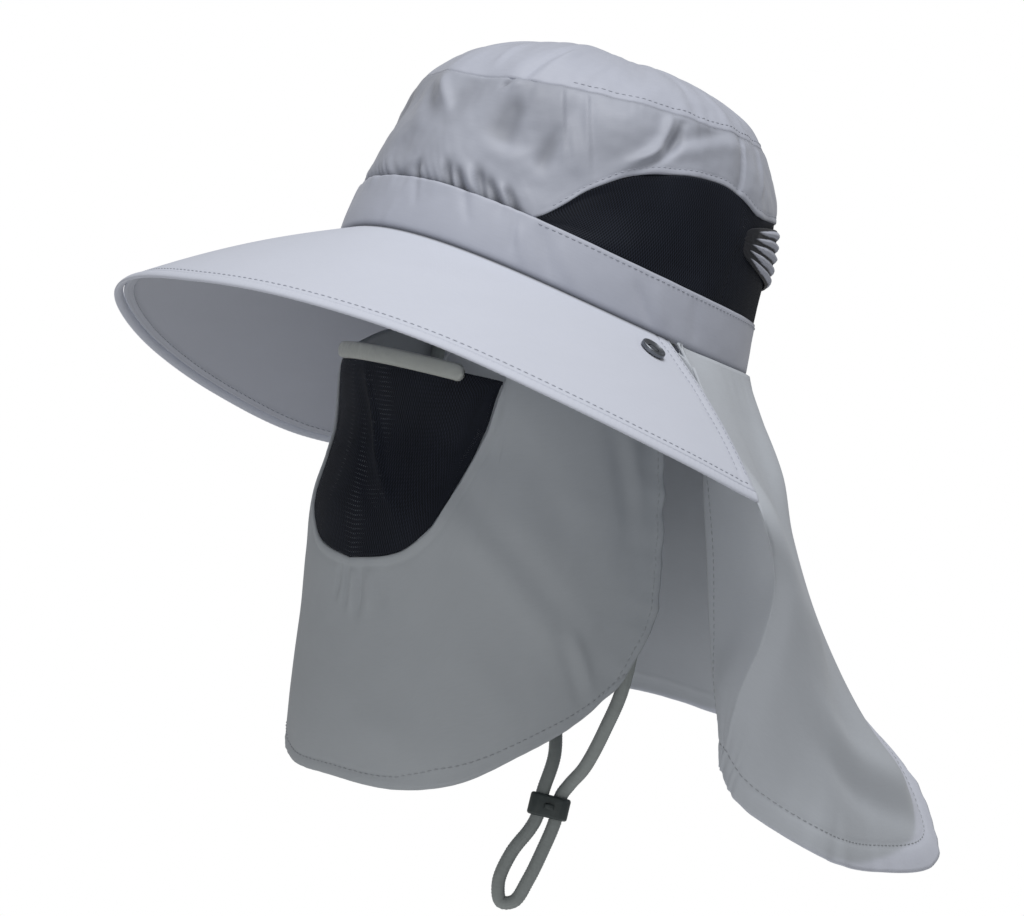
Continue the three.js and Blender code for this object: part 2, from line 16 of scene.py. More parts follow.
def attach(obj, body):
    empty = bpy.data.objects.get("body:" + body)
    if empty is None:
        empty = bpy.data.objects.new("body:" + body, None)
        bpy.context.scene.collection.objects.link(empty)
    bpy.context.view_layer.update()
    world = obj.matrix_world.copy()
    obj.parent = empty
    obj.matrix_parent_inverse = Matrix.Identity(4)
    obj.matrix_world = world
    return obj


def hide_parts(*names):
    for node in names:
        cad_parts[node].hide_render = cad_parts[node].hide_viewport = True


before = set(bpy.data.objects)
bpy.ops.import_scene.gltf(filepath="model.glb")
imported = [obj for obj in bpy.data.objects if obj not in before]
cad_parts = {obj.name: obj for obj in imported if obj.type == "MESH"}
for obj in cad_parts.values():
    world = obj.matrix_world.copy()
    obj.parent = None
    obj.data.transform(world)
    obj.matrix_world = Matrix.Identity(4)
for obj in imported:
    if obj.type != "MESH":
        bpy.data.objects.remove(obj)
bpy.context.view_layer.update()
MM = 0.001
TURN = math.pi / 180

# %% [markdown]
# ## Camera
# The camera comes first, because it shows how every piece has to look. It stands 1.5 m away, a little
# below the brim, on the wearer's left front, and it is tipped, because the hat leans back in the picture.

# %% Camera
VIEW_AZIMUTH = 49.97
VIEW_ELEVATION = -3.906
VIEW_ROLL = 13.57
EYE = Vector((1.1567, -0.9703, -0.18))
LENS = 122.63


def view_axes(azimuth, elevation, roll):
    """The camera's right, up and backward directions, from its angles in degrees."""
    a, e, r = azimuth * TURN, elevation * TURN, roll * TURN
    back = Vector((math.sin(a) * math.cos(e), -math.cos(a) * math.cos(e), math.sin(e)))
    right = Vector((math.cos(a), math.sin(a), 0))
    up = back.cross(right)
    return right * math.cos(r) + up * math.sin(r), up * math.cos(r) - right * math.sin(r), back


def look(location, axes):
    """Matrix of a camera or a light at a place, facing against its backward direction."""
    turned = Matrix(axes).transposed().to_4x4()
    return Matrix.Translation(location) @ turned


VIEW = view_axes(VIEW_AZIMUTH, VIEW_ELEVATION, VIEW_ROLL)
bpy.ops.object.camera_add()
camera = bpy.context.object
camera.name = "camera"
camera.matrix_world = look(EYE, VIEW)
camera.data.lens = LENS
camera.data.sensor_width = 36
camera.data.clip_end = 20
bpy.context.scene.camera = camera
print("camera at", [round(x, 3) for x in EYE])

# %% [markdown]
# ## Light and floor
# The picture has soft light from above and white all round. A wide lamp overhead and a weak one by the
# camera do that, and the background is white to the camera but gives less light, so that the cloth
# keeps its shading.

# %% Light and floor
AMBIENT = 0.24
FLOOR_HEIGHT = -0.62
FLOOR_RADIUS = 2.4
HAT_MIDDLE = Vector((0, 0.03, -0.05))
LAMPS = [
    {"name": "light_above", "right": 0.4, "up": 1.8, "back": 0.75, "size": 1.1, "energy": 32},
    {"name": "light_camera", "right": -0.6, "up": 0.3, "back": 1.7, "size": 0.9, "energy": 3.5},
]


def lamp(name, place, size, energy):
    """A square soft lamp that faces the hat's middle."""
    back = (place - HAT_MIDDLE).normalized()
    right = Vector((0, 0, 1)).cross(back).normalized()
    bpy.ops.object.light_add(type="AREA")
    light = bpy.context.object
    light.name = name
    light.data.size = size
    light.data.energy = energy
    light.matrix_world = look(place, (right, back.cross(right), back))


for row in LAMPS:
    stand = VIEW[0] * row["right"] + VIEW[1] * row["up"] + VIEW[2] * row["back"]
    lamp(row["name"], stand, row["size"], row["energy"])

world = bpy.data.worlds.new("white_room")
bpy.context.scene.world = world
world.use_nodes = True
sky = world.node_tree.nodes["Background"]
sky.inputs["Color"].default_value = (1, 1, 1, 1)
path = world.node_tree.nodes.new("ShaderNodeLightPath")
amount = world.node_tree.nodes.new("ShaderNodeMapRange")
amount.inputs["To Min"].default_value = AMBIENT
amount.inputs["To Max"].default_value = 1.0
world.node_tree.links.new(path.outputs["Is Camera Ray"], amount.inputs["Value"])
world.node_tree.links.new(amount.outputs["Result"], sky.inputs["Strength"])
bpy.context.scene.view_settings.view_transform = "Standard"

bpy.ops.mesh.primitive_circle_add(vertices=96, radius=FLOOR_RADIUS, fill_type="NGON",
                                  location=(0, 0, FLOOR_HEIGHT))
floor = bpy.context.object
floor.name = "floor"
print("floor at", FLOOR_HEIGHT)


# %% [markdown]
# ## Materials
# Three effects are shared: the weave, the open net, and soft blotches where a surface takes the light
# unevenly. Each is a node group with named inputs, so that one cloth differs from the next only in its
# numbers. The patterns of cloth follow each piece's own cut, which its UV map holds in metres.

# %% Node helpers
def node_group(name, inputs, outputs):
    """An empty shader node group with number inputs and outputs, or a vector called Place."""
    group = bpy.data.node_groups.new(name, "ShaderNodeTree")
    for label in inputs:
        kind = "NodeSocketVector" if label == "Place" else "NodeSocketFloat"
        group.interface.new_socket(label, in_out="INPUT", socket_type=kind)
    for label in outputs:
        group.interface.new_socket(label, in_out="OUTPUT", socket_type="NodeSocketFloat")
    return group, group.nodes.new("NodeGroupInput"), group.nodes.new("NodeGroupOutput")


def sum_up(tree, operation, *values):
    """A Math node on sockets and plain numbers, which gives back its output."""
    node = tree.nodes.new("ShaderNodeMath")
    node.operation = operation
    for socket, value in zip(node.inputs, values):
        if isinstance(value, (int, float)):
            socket.default_value = value
        else:
            tree.links.new(value, socket)
    return node.outputs[0]


def split(tree, place):
    """The X and Y of a place."""
    node = tree.nodes.new("ShaderNodeSeparateXYZ")
    tree.links.new(place, node.inputs[0])
    return node.outputs["X"], node.outputs["Y"]


# %% Weave
SLUB_SCALE = (160, 1400, 1)
weave, enter, leave = node_group("weave", ["Place", "Pitch"], ["Height", "Tone"])
across, down = split(weave, enter.outputs["Place"])
waves = []
for way in (across, down):
    turns = sum_up(weave, "DIVIDE", sum_up(weave, "MULTIPLY", way, 2 * math.pi), enter.outputs["Pitch"])
    waves.append(sum_up(weave, "SINE", turns))
threads = sum_up(weave, "MULTIPLY", waves[0], waves[1])
weave.links.new(sum_up(weave, "MULTIPLY_ADD", threads, 0.5, 0.5), leave.inputs["Height"])
slub = weave.nodes.new("ShaderNodeTexNoise")
stretch = weave.nodes.new("ShaderNodeMapping")
stretch.inputs["Scale"].default_value = SLUB_SCALE
weave.links.new(enter.outputs["Place"], stretch.inputs["Vector"])
weave.links.new(stretch.outputs["Vector"], slub.inputs["Vector"])
slub.inputs["Scale"].default_value = 1
weave.links.new(slub.outputs["Fac"], leave.inputs["Tone"])

# %% Net
NET_SLANT = 0.58
net, enter, leave = node_group("net", ["Place", "Pitch", "Open"], ["Thread", "Height"])
across, down = split(net, enter.outputs["Place"])
slants = []
for lean in (1, -1):
    line = sum_up(net, "MULTIPLY_ADD", down, NET_SLANT * lean, across)
    turns = sum_up(net, "DIVIDE", sum_up(net, "MULTIPLY", line, math.pi), enter.outputs["Pitch"])
    slants.append(sum_up(net, "ABSOLUTE", sum_up(net, "SINE", turns)))
hole = sum_up(net, "MULTIPLY", slants[0], slants[1])
net.links.new(sum_up(net, "LESS_THAN", hole, enter.outputs["Open"]), leave.inputs["Thread"])
net.links.new(sum_up(net, "SUBTRACT", 1.0, hole), leave.inputs["Height"])

# %% Blotches
blotch, enter, leave = node_group("blotch", ["Place", "Size"], ["Shade"])
cloud = blotch.nodes.new("ShaderNodeTexNoise")
blotch.links.new(enter.outputs["Place"], cloud.inputs["Vector"])
blotch.links.new(sum_up(blotch, "DIVIDE", 1.0, enter.outputs["Size"]), cloud.inputs["Scale"])
cloud.inputs["Detail"].default_value = 3
blotch.links.new(cloud.outputs["Fac"], leave.inputs["Shade"])
print("node groups:", [group.name for group in (weave, net, blotch)])


# %% [markdown]
# ## A cloth material
# The colour is a mix of a darker and a lighter tone of the same dye. The blotches and the uneven
# threads choose between them, and the weave stands out through a Bump node. Thin nylon has a soft
# sheen at grazing angles, which is set on the shader itself. An attribute called deep, which a cloth
# may have, mixes in a second colour that is painted light: painted shade in creases, along seams and
# under the brim, near black for the net and the shade between the ruched ridges, and a paler painted
# light round the flap's tail.

# %% Cloth material
PAINTED_SHADE_TINT = 0.3


def new_material(name):
    """A material with its node tree and its shader."""
    material = bpy.data.materials.new(name)
    material.use_nodes = True
    tree = material.node_tree
    return material, tree, tree.nodes["Principled BSDF"]


def placed(material, group, place, **values):
    """A node group in a material, at places on the piece and with its own numbers."""
    node = material.node_tree.nodes.new("ShaderNodeGroup")
    node.node_tree = group
    material.node_tree.links.new(place, node.inputs["Place"])
    for label, value in values.items():
        node.inputs[label].default_value = value
    return node


def dye(material, amount, dark, light, socket):
    """Mix two colours by an amount, into a colour socket."""
    mix = material.node_tree.nodes.new("ShaderNodeMix")
    mix.data_type = "RGBA"
    mix.inputs["A"].default_value = (*dark, 1)
    mix.inputs["B"].default_value = (*light, 1)
    material.node_tree.links.new(amount, mix.inputs["Factor"])
    material.node_tree.links.new(mix.outputs["Result"], socket)


def raised(tree, height, strength, distance):
    """Let a height stand out through a Bump node."""
    relief = tree.nodes.new("ShaderNodeBump")
    relief.inputs["Strength"].default_value = strength
    relief.inputs["Distance"].default_value = distance
    tree.links.new(height, relief.inputs["Height"])
    tree.links.new(relief.outputs["Normal"], tree.nodes["Principled BSDF"].inputs["Normal"])


def linear(red, green, blue):
    """A colour given as 0 to 255, as light."""
    return tuple(((c / 255 + 0.055) / 1.055) ** 2.4 for c in (red, green, blue))


def tint(colour, share):
    return tuple(c * share for c in colour)


def cloth_material(name, colour, pitch=0.0005, spread=0.1, bump=0.12, roughness=0.75, sheen=0.12,
                   deep=None):
    """Woven cloth of one dye, with a second colour where its attribute called deep says so: painted shade, a
    third of the dye, unless another colour is given.
    """
    material, tree, shader = new_material(name)
    shader.inputs["Roughness"].default_value = roughness
    shader.inputs["Sheen Weight"].default_value = sheen
    shader.inputs["Sheen Roughness"].default_value = 0.4
    shader.inputs["Specular IOR Level"].default_value = 0.35
    cut = tree.nodes.new("ShaderNodeUVMap")
    woven = placed(material, weave, cut.outputs["UV"], Pitch=pitch)
    clouds = placed(material, blotch, cut.outputs["UV"], Size=0.03)
    amount = sum_up(tree, "MULTIPLY_ADD", woven.outputs["Tone"], 0.5,
                    sum_up(tree, "MULTIPLY", clouds.outputs["Shade"], 0.5))
    second = tree.nodes.new("ShaderNodeMix")
    second.data_type = "RGBA"
    # The second colour is painted shade, a third of the dye, unless a cloth brings its own.
    second.inputs["B"].default_value = (*(deep or tint(colour, PAINTED_SHADE_TINT)), 1)
    where = tree.nodes.new("ShaderNodeAttribute")
    where.attribute_name = "deep"
    tree.links.new(where.outputs["Fac"], second.inputs["Factor"])
    tree.links.new(second.outputs["Result"], shader.inputs["Base Color"])
    dye(material, amount, tint(colour, 1 - spread), tint(colour, 1 + spread), second.inputs["A"])
    raised(tree, woven.outputs["Height"], bump, 0.0002)
    return material


BRIM_DYE = linear(201, 205, 217)
CROWN_DYE = linear(180, 184, 197)
FLAP_DYE = linear(184, 189, 196)
# The face cover is of the flap's cloth; its darker dye is painted shade from the brim.
MASK_SHADED_DYE = linear(170, 175, 180)
# Painted light: the paler colour round the flap's tail, where the cloth turns up to the light.
HEM_PAINTED_LIGHT_DYE = linear(212, 216, 229)
# The crown's side is the crown's own cloth; its darker dye here is painted shade on the upright sides.
SIDE_SHADED_DYE = linear(168, 172, 184)
# Near black between the ruched ridges: partly the net that shows there, partly painted shade in the valleys.
RUCHED_NET_AND_SHADE_DYE = linear(22, 24, 32)
brim_cloth = cloth_material("brim_cloth", BRIM_DYE, pitch=0.0006, spread=0.05, roughness=0.7)
crown_cloth = cloth_material("crown_cloth", CROWN_DYE, spread=0.08, roughness=0.55, sheen=0.2)
flap_cloth = cloth_material("flap_cloth", FLAP_DYE, spread=0.07, roughness=0.7, deep=HEM_PAINTED_LIGHT_DYE)
# A copy of the crown cloth whose darker dye is painted shade.
shaded_side_cloth = cloth_material("shaded_side_cloth", SIDE_SHADED_DYE, spread=0.08, roughness=0.55, sheen=0.2)
ruched_cloth = cloth_material("ruched_cloth", CROWN_DYE, spread=0.08, roughness=0.55, deep=RUCHED_NET_AND_SHADE_DYE)
mask_cloth = cloth_material("mask_cloth", MASK_SHADED_DYE, spread=0.07, roughness=0.8)
trim_cloth = cloth_material("trim_cloth", linear(172, 176, 172), pitch=0.0004, roughness=0.5, sheen=0.3)
thread_cloth = cloth_material("thread_cloth", linear(172, 176, 187), pitch=0.0003, roughness=0.5)
grey_thread = cloth_material("grey_thread_cloth", linear(158, 162, 167), pitch=0.0003, roughness=0.5)
cord_cloth = cloth_material("cord_cloth", linear(152, 158, 157), pitch=0.0008, spread=0.25, bump=0.3)
print("cloths:", [m.name for m in bpy.data.materials if m.name.endswith("_cloth")])

# %% Net material
NET_DARK = linear(3, 4, 9)
NET_LIT = linear(52, 58, 72)
net_cloth, tree, shader = new_material("net_cloth")
shader.inputs["Roughness"].default_value = 0.55
shader.inputs["Specular IOR Level"].default_value = 0.12
cut = tree.nodes.new("ShaderNodeUVMap")
strands = placed(net_cloth, net, cut.outputs["UV"], Pitch=0.0013, Open=0.92)
clouds = placed(net_cloth, blotch, cut.outputs["UV"], Size=0.02)
# Painted highlight: the crests of the threads are painted lighter, as if lit, and the blotches add random
# tone.
lit_thread = sum_up(tree, "POWER", strands.outputs["Height"], 6.0)
blotch_and_highlight_tone = sum_up(tree, "MULTIPLY_ADD", clouds.outputs["Shade"], 0.25,
                   sum_up(tree, "MULTIPLY", lit_thread, 0.75))
dye(net_cloth, blotch_and_highlight_tone, NET_DARK, NET_LIT, shader.inputs["Base Color"])
tree.links.new(strands.outputs["Thread"], shader.inputs["Alpha"])
raised(tree, strands.outputs["Height"], 0.5, 0.0003)


# %% Hard materials
def hard_material(name, colour, roughness, metallic, grain, spread=0.2):
    """Moulded plastic, plated metal or paint, with fine grain in its roughness and surface."""
    material, tree, shader = new_material(name)
    shader.inputs["Metallic"].default_value = metallic
    place = tree.nodes.new("ShaderNodeTexCoord").outputs["Object"]
    clouds = placed(material, blotch, place, Size=grain)
    rough = sum_up(tree, "MULTIPLY_ADD", clouds.outputs["Shade"], 0.25, roughness - 0.12)
    tree.links.new(rough, shader.inputs["Roughness"])
    dye(material, clouds.outputs["Shade"], tint(colour, 1 - spread), tint(colour, 1 + spread),
        shader.inputs["Base Color"])
    raised(tree, clouds.outputs["Shade"], 0.15, 0.0001)
    return material


slider_plastic = hard_material("slider_plastic", linear(62, 70, 70), roughness=0.42, metallic=0, grain=0.0008)
snap_metal = hard_material("snap_metal", linear(120, 124, 130), roughness=0.35, metallic=0.9, grain=0.0006)
floor_white = hard_material("floor_white", linear(240, 240, 240), roughness=0.8, metallic=0, grain=0.2,
                            spread=0.02)
floor.data.materials.append(floor_white)
print("materials:", len(bpy.data.materials))


# %% [markdown]
# ## Tables and smooth lines
# The hat's forms come from a few short tables of named places. One helper reads a table smoothly, and
# another draws a smooth line through points, as a thread would lie through them. Ripples are soft
# random values with a set seed, so they come out the same each time.

# %% Tables and smooth lines
RIPPLE_RADIUS = 90


def along(rows, key, column, at):
    """Smooth values of a table's column at places along its key column."""
    keys = np.array([row[key] for row in rows], float)
    values = np.array([row[column] for row in rows], float)
    last = len(keys) - 1
    before = np.maximum(np.arange(last + 1) - 1, 0)
    after = np.minimum(np.arange(last + 1) + 1, last)
    slopes = (values[after] - values[before]) / (keys[after] - keys[before])
    at = np.clip(np.asarray(at, float), keys[0], keys[-1])
    i = np.clip(np.searchsorted(keys, at) - 1, 0, last - 1)
    width = keys[i + 1] - keys[i]
    t = (at - keys[i]) / width
    start = (2 * t**3 - 3 * t**2 + 1) * values[i] + (t**3 - 2 * t**2 + t) * width * slopes[i]
    end = (3 * t**2 - 2 * t**3) * values[i + 1] + (t**3 - t**2) * width * slopes[i + 1]
    return start + end


def thread_line(points, at):
    """Places on the smooth line through points, at shares of its way, with one span to each gap."""
    points = np.asarray(points, float)
    ends = (2 * points[0] - points[1], 2 * points[-1] - points[-2])
    padded = np.vstack([ends[0], points, ends[1]])
    spans = len(points) - 1
    whole = np.clip(np.asarray(at, float) * spans, 0, spans)
    i = np.minimum(whole.astype(int), spans - 1)
    t = (whole - i)[..., None]
    p0, p1, p2, p3 = padded[i], padded[i + 1], padded[i + 2], padded[i + 3]
    d0, d1, d2 = (np.sqrt(np.linalg.norm(b - a, axis=-1))[..., None]
                  for a, b in ((p0, p1), (p1, p2), (p2, p3)))
    start = ((p1 - p0) / d0 - (p2 - p0) / (d0 + d1) + (p2 - p1) / d1) * d1
    end = ((p2 - p1) / d1 - (p3 - p1) / (d1 + d2) + (p3 - p2) / d2) * d1
    bend = 2 * p1 - 2 * p2 + start + end
    return p1 + start * t + (3 * p2 - 3 * p1 - 2 * start - end) * t**2 + bend * t**3


def bump(offset, width):
    """A smooth hump of height 1 where the offset is 0."""
    return np.exp(-((offset / width) ** 2))


def soft_step(way, width):
    """A smooth step from 0 to 1 where the way passes 0."""
    return 1 / (1 + np.exp(-way / width))


def ripple(x, y, seed):
    """Soft random values from -1 to 1 over places x and y."""
    shape = np.broadcast(x, y).shape
    spots = zip(np.broadcast_to(x, shape).ravel(), np.broadcast_to(y, shape).ravel())
    return np.array([noise.noise((a, b, seed)) for a, b in spots]).reshape(shape)


def round_ripple(angle, z, fine, seed):
    """Soft random values round the crown, with no jump at the back."""
    a = np.asarray(angle, float) * TURN
    shape = np.broadcast(a, z).shape
    ways = (RIPPLE_RADIUS * fine * np.sin(a), RIPPLE_RADIUS * fine * np.cos(a), fine * z + seed)
    spots = zip(*(np.broadcast_to(way, shape).ravel() for way in ways))
    return np.array([noise.noise(spot) for spot in spots]).reshape(shape)


def uneven(rows, x, y):
    """The sum of a table's ripples over places x and y."""
    return sum(row["high"] * ripple(x * row["by_x"], y * row["by_y"], row["seed"]) for row in rows)


def round_uneven(rows, angle, z):
    """The sum of a table's ripples round the crown."""
    return sum(row["high"] * round_ripple(angle, z, row["fine"], row["seed"]) for row in rows)


# %% [markdown]
# ## The chin cord
# The cord is a limp 6 mm tube of braid. Its route is the solid's: from the left of the headband down
# inside the hat, through the slider, round the loop, back through the slider and up to the right side.
# Sixteen bundles of yarn cross over and under each other, so the tube's wall is raised and lowered
# along two sets of spirals, and the bumps are real ones.

# %% Chin cord
CORD_DIAMETER = 6
CORD_ROUTE = [
    (76, 6, -6), (75, 7, -28), (75, 14, -64), (71, 27, -112), (58, 43, -160), (42, 53, -182),
    (24, 63, -200), (11, 68.5, -209), (7.6, 68.2, -215), (7.6, 68.2, -226), (6, 66.5, -240),
    (4, 64, -254), (1.5, 61, -264.5), (-2.3, 57, -266), (-4.2, 54.6, -258), (-2.5, 56.5, -244),
    (1.2, 60.6, -232), (2.4, 61.8, -226), (2.4, 61.8, -215), (1, 64.5, -196), (-14, 66, -172),
    (-46, 48, -134), (-71, 24, -92), (-76, 10, -50), (-75, 7, -28), (-76, 6, -6),
]
CORD_SIDES = 32
CORD_STEPS = 960
FINE_STEPS = 4000
FIRST_SIDE = (0, 0.3, 1)
YARN_BUNDLES = 8
YARN_LAY = 11
YARN_RELIEF = 0.22
YARN_SINK = 0.6


def even_line(points, count):
    """The smooth line through points, as count + 1 evenly spaced places, and its length."""
    fine = thread_line(points, np.linspace(0, 1, FINE_STEPS))
    gone = np.concatenate([[0], np.cumsum(np.linalg.norm(np.diff(fine, axis=0), axis=1))])
    marks = np.linspace(0, gone[-1], count + 1)
    return np.stack([np.interp(marks, gone, fine[:, k]) for k in range(3)], 1), gone[-1]


def carried_frames(line):
    """Two directions square to a line at each of its places, carried along it without twisting."""
    ahead = np.gradient(line, axis=0)
    ahead /= np.linalg.norm(ahead, axis=1)[:, None]
    side = np.cross(ahead[0], FIRST_SIDE)
    sides = []
    for way in ahead:
        side = side - way * np.dot(side, way)
        side = side / np.linalg.norm(side)
        sides.append(side)
    sides = np.array(sides)
    return sides, np.cross(ahead, sides)


def mesh_piece(name, points, faces, material, cut=None):
    """An object from points in millimetres and faces, with its cut in metres as its UV map."""
    mesh = bpy.data.meshes.new(name)
    mesh.from_pydata((np.asarray(points) * MM).tolist(), [], [list(map(int, face)) for face in faces])
    piece = bpy.data.objects.new(name, mesh)
    bpy.context.collection.objects.link(piece)
    piece.data.materials.append(material)
    if cut is not None:
        corners = np.empty(len(mesh.loops), dtype=np.int32)
        mesh.loops.foreach_get("vertex_index", corners)
        layer = mesh.uv_layers.new(name="cut")
        layer.data.foreach_set("uv", (np.asarray(cut)[corners] * MM).astype(np.float32).ravel())
    mesh.polygons.foreach_set("use_smooth", np.ones(len(mesh.polygons), dtype=bool))
    mesh.update()
    return piece


def ring_faces(steps, sides):
    """Faces of a tube of steps rings, with both ends closed."""
    faces = []
    for i in range(steps):
        for k in range(sides):
            a, b = i * sides + k, i * sides + (k + 1) % sides
            faces.append((a, b, b + sides, a + sides))
    end = steps * sides
    return faces + [tuple(range(sides))[::-1], tuple(range(end, end + sides))]


def braided_tube(name, route, diameter, material):
    """A closed tube along a route, whose wall is raised where bundles of yarn cross, and its length."""
    line, length = even_line(route, CORD_STEPS)
    side, up = carried_frames(line)
    a = np.arange(CORD_SIDES) * 2 * math.pi / CORD_SIDES
    way = np.linspace(0, length, CORD_STEPS + 1)[:, None]
    left = np.cos(YARN_BUNDLES * (a + way * math.pi / YARN_LAY))
    right = np.cos(YARN_BUNDLES * (a - way * math.pi / YARN_LAY))
    radius = diameter / 2 + YARN_RELIEF * (left * right - YARN_SINK)
    points = (line[:, None] + side[:, None] * (radius * np.cos(a))[..., None]
              + up[:, None] * (radius * np.sin(a))[..., None])
    cut = np.stack(np.broadcast_arrays(a * diameter / 2, way), -1)
    return mesh_piece(name, points.reshape(-1, 3), ring_faces(CORD_STEPS, CORD_SIDES), material,
                      cut.reshape(-1, 2)), length


def worn(piece, slot, *nodes):
    """Let a piece ride on the hat and stand for its nodes; the slot is not used."""
    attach(piece, "root")
    if nodes:
        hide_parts(*nodes)
    print(piece.name, "faces:", len(piece.data.polygons))


cord, cord_length = braided_tube("cord_braid", CORD_ROUTE, CORD_DIAMETER, cord_cloth)
worn(cord, "cord", "chin_cord")
print("cord length in mm:", round(cord_length, 1))


# %% [markdown]
# ## The slider
# The slider is a small moulded collar with two round holes that grip the cord. By hand it starts as a
# cylinder whose halves are moved apart. It is pinched in its middle, bevelled, and drilled by two
# cylinders with the Boolean modifier. A rib in the middle of each face is the place for a finger.

# %% Slider
SLIDER_CENTRE = Vector((5, 65, -220.5)) * MM
SLIDER_TURN = 50
SLIDER_HEIGHT = 10 * MM
STRAND_OFFSET = 4.15 * MM
HOLE_RADIUS = 3.3 * MM
SLIDER_WALL = 1.6 * MM
SLIDER_PINCH = 0.8
SLIDER_BEVEL = 1.2 * MM
RIB_PLACE = 4.3 * MM
RIB_SIZE = (4.2 * MM, 2.4 * MM, 2.6 * MM)
RIB_BEVEL = 0.7 * MM
NEAR = 0.1 * MM


def only(piece):
    """Make one object the only selected and the active one."""
    bpy.ops.object.select_all(action="DESELECT")
    piece.select_set(True)
    bpy.context.view_layer.objects.active = piece


def edit(piece, choose, mode="FACE"):
    """Open a piece in edit mode with the elements selected that choose accepts."""
    only(piece)
    bpy.context.tool_settings.mesh_select_mode = (mode == "VERT", mode == "EDGE", mode == "FACE")
    for kind in (piece.data.vertices, piece.data.edges, piece.data.polygons):
        kind.foreach_set("select", np.zeros(len(kind), dtype=bool))
    kind = {"VERT": piece.data.vertices, "EDGE": piece.data.edges, "FACE": piece.data.polygons}[mode]
    for element in kind:
        element.select = choose(element)
    bpy.ops.object.mode_set(mode="EDIT")
    bpy.ops.mesh.select_mode(type=mode)


def edit_all(piece):
    """Open a piece in edit mode with everything selected."""
    only(piece)
    bpy.ops.object.mode_set(mode="EDIT")
    bpy.ops.mesh.select_all(action="SELECT")


def done():
    """Leave edit mode."""
    bpy.ops.object.mode_set(mode="OBJECT")


def apply_modifier(piece, kind, **values):
    """Add a modifier with its settings and apply it."""
    only(piece)
    modifier = piece.modifiers.new(kind.lower(), kind)
    for label, value in values.items():
        setattr(modifier, label, value)
    bpy.ops.object.modifier_apply(modifier=modifier.name)


def settle(piece, place):
    """Put a piece's turn and place into its mesh, so that its object sits at the origin."""
    piece.matrix_world = place
    only(piece)
    bpy.ops.object.transform_apply(location=True, rotation=True, scale=True)


def finish_hard(piece, smooth_angle, material):
    """Shade a hard piece smooth up to an angle in degrees, and give it its material."""
    only(piece)
    bpy.ops.object.shade_smooth_by_angle(angle=smooth_angle * TURN)
    piece.data.materials.clear()
    piece.data.materials.append(material)


bpy.ops.object.select_all(action="DESELECT")
bpy.ops.mesh.primitive_cylinder_add(vertices=48, radius=HOLE_RADIUS + SLIDER_WALL, depth=SLIDER_HEIGHT)
slider = bpy.context.object
slider.name = "slider_collar"
for side in (-1, 1):
    edit(slider, lambda v: v.co.x * side > NEAR, "VERT")
    bpy.ops.transform.translate(value=(side * STRAND_OFFSET, 0, 0))
    done()
edit(slider, lambda v: abs(v.co.x) < NEAR, "VERT")
bpy.ops.transform.resize(value=(1, SLIDER_PINCH, 1), center_override=(0, 0, 0))
done()
edit(slider, lambda f: abs(f.normal.z) > 0.9)
bpy.ops.mesh.bevel(offset=SLIDER_BEVEL, segments=4, affect="EDGES")
done()
for side in (-1, 1):
    bpy.ops.object.select_all(action="DESELECT")
    bpy.ops.mesh.primitive_cylinder_add(vertices=40, radius=HOLE_RADIUS, depth=SLIDER_HEIGHT * 2,
                                        location=(side * STRAND_OFFSET, 0, 0))
    drill = bpy.context.object
    apply_modifier(slider, "BOOLEAN", operation="DIFFERENCE", object=drill, solver="EXACT")
    bpy.data.objects.remove(drill)
for side in (-1, 1):
    bpy.ops.object.select_all(action="DESELECT")
    bpy.ops.mesh.primitive_cube_add(size=1, location=(0, side * RIB_PLACE, 0), scale=RIB_SIZE)
    rib = bpy.context.object
    bpy.ops.object.transform_apply(location=True, scale=True)
    edit(rib, lambda f: True)
    bpy.ops.mesh.bevel(offset=RIB_BEVEL, segments=3, affect="EDGES")
    done()
    apply_modifier(slider, "BOOLEAN", operation="UNION", object=rib, solver="EXACT")
    bpy.data.objects.remove(rib)
settle(slider, Matrix.Translation(SLIDER_CENTRE) @ Matrix.Rotation(SLIDER_TURN * TURN, 4, "Z"))
finish_hard(slider, 40, slider_plastic)
worn(slider, "slider_plastic", "cord_slider")

# %% [markdown]
# ## How a cloth is made
# A cloth here is a surface that is known at every share u across and v up its cut. A fine grid of it
# is raised and lowered by its folds, and a second grid one wall behind makes it a closed sheet. The
# cut's real widths go into the UV map, so the weave runs with the cloth and isn't stretched.

# %% Cloth
EDGE_ROLL = 0.3
MERGE_DISTANCE = 0.005 * MM


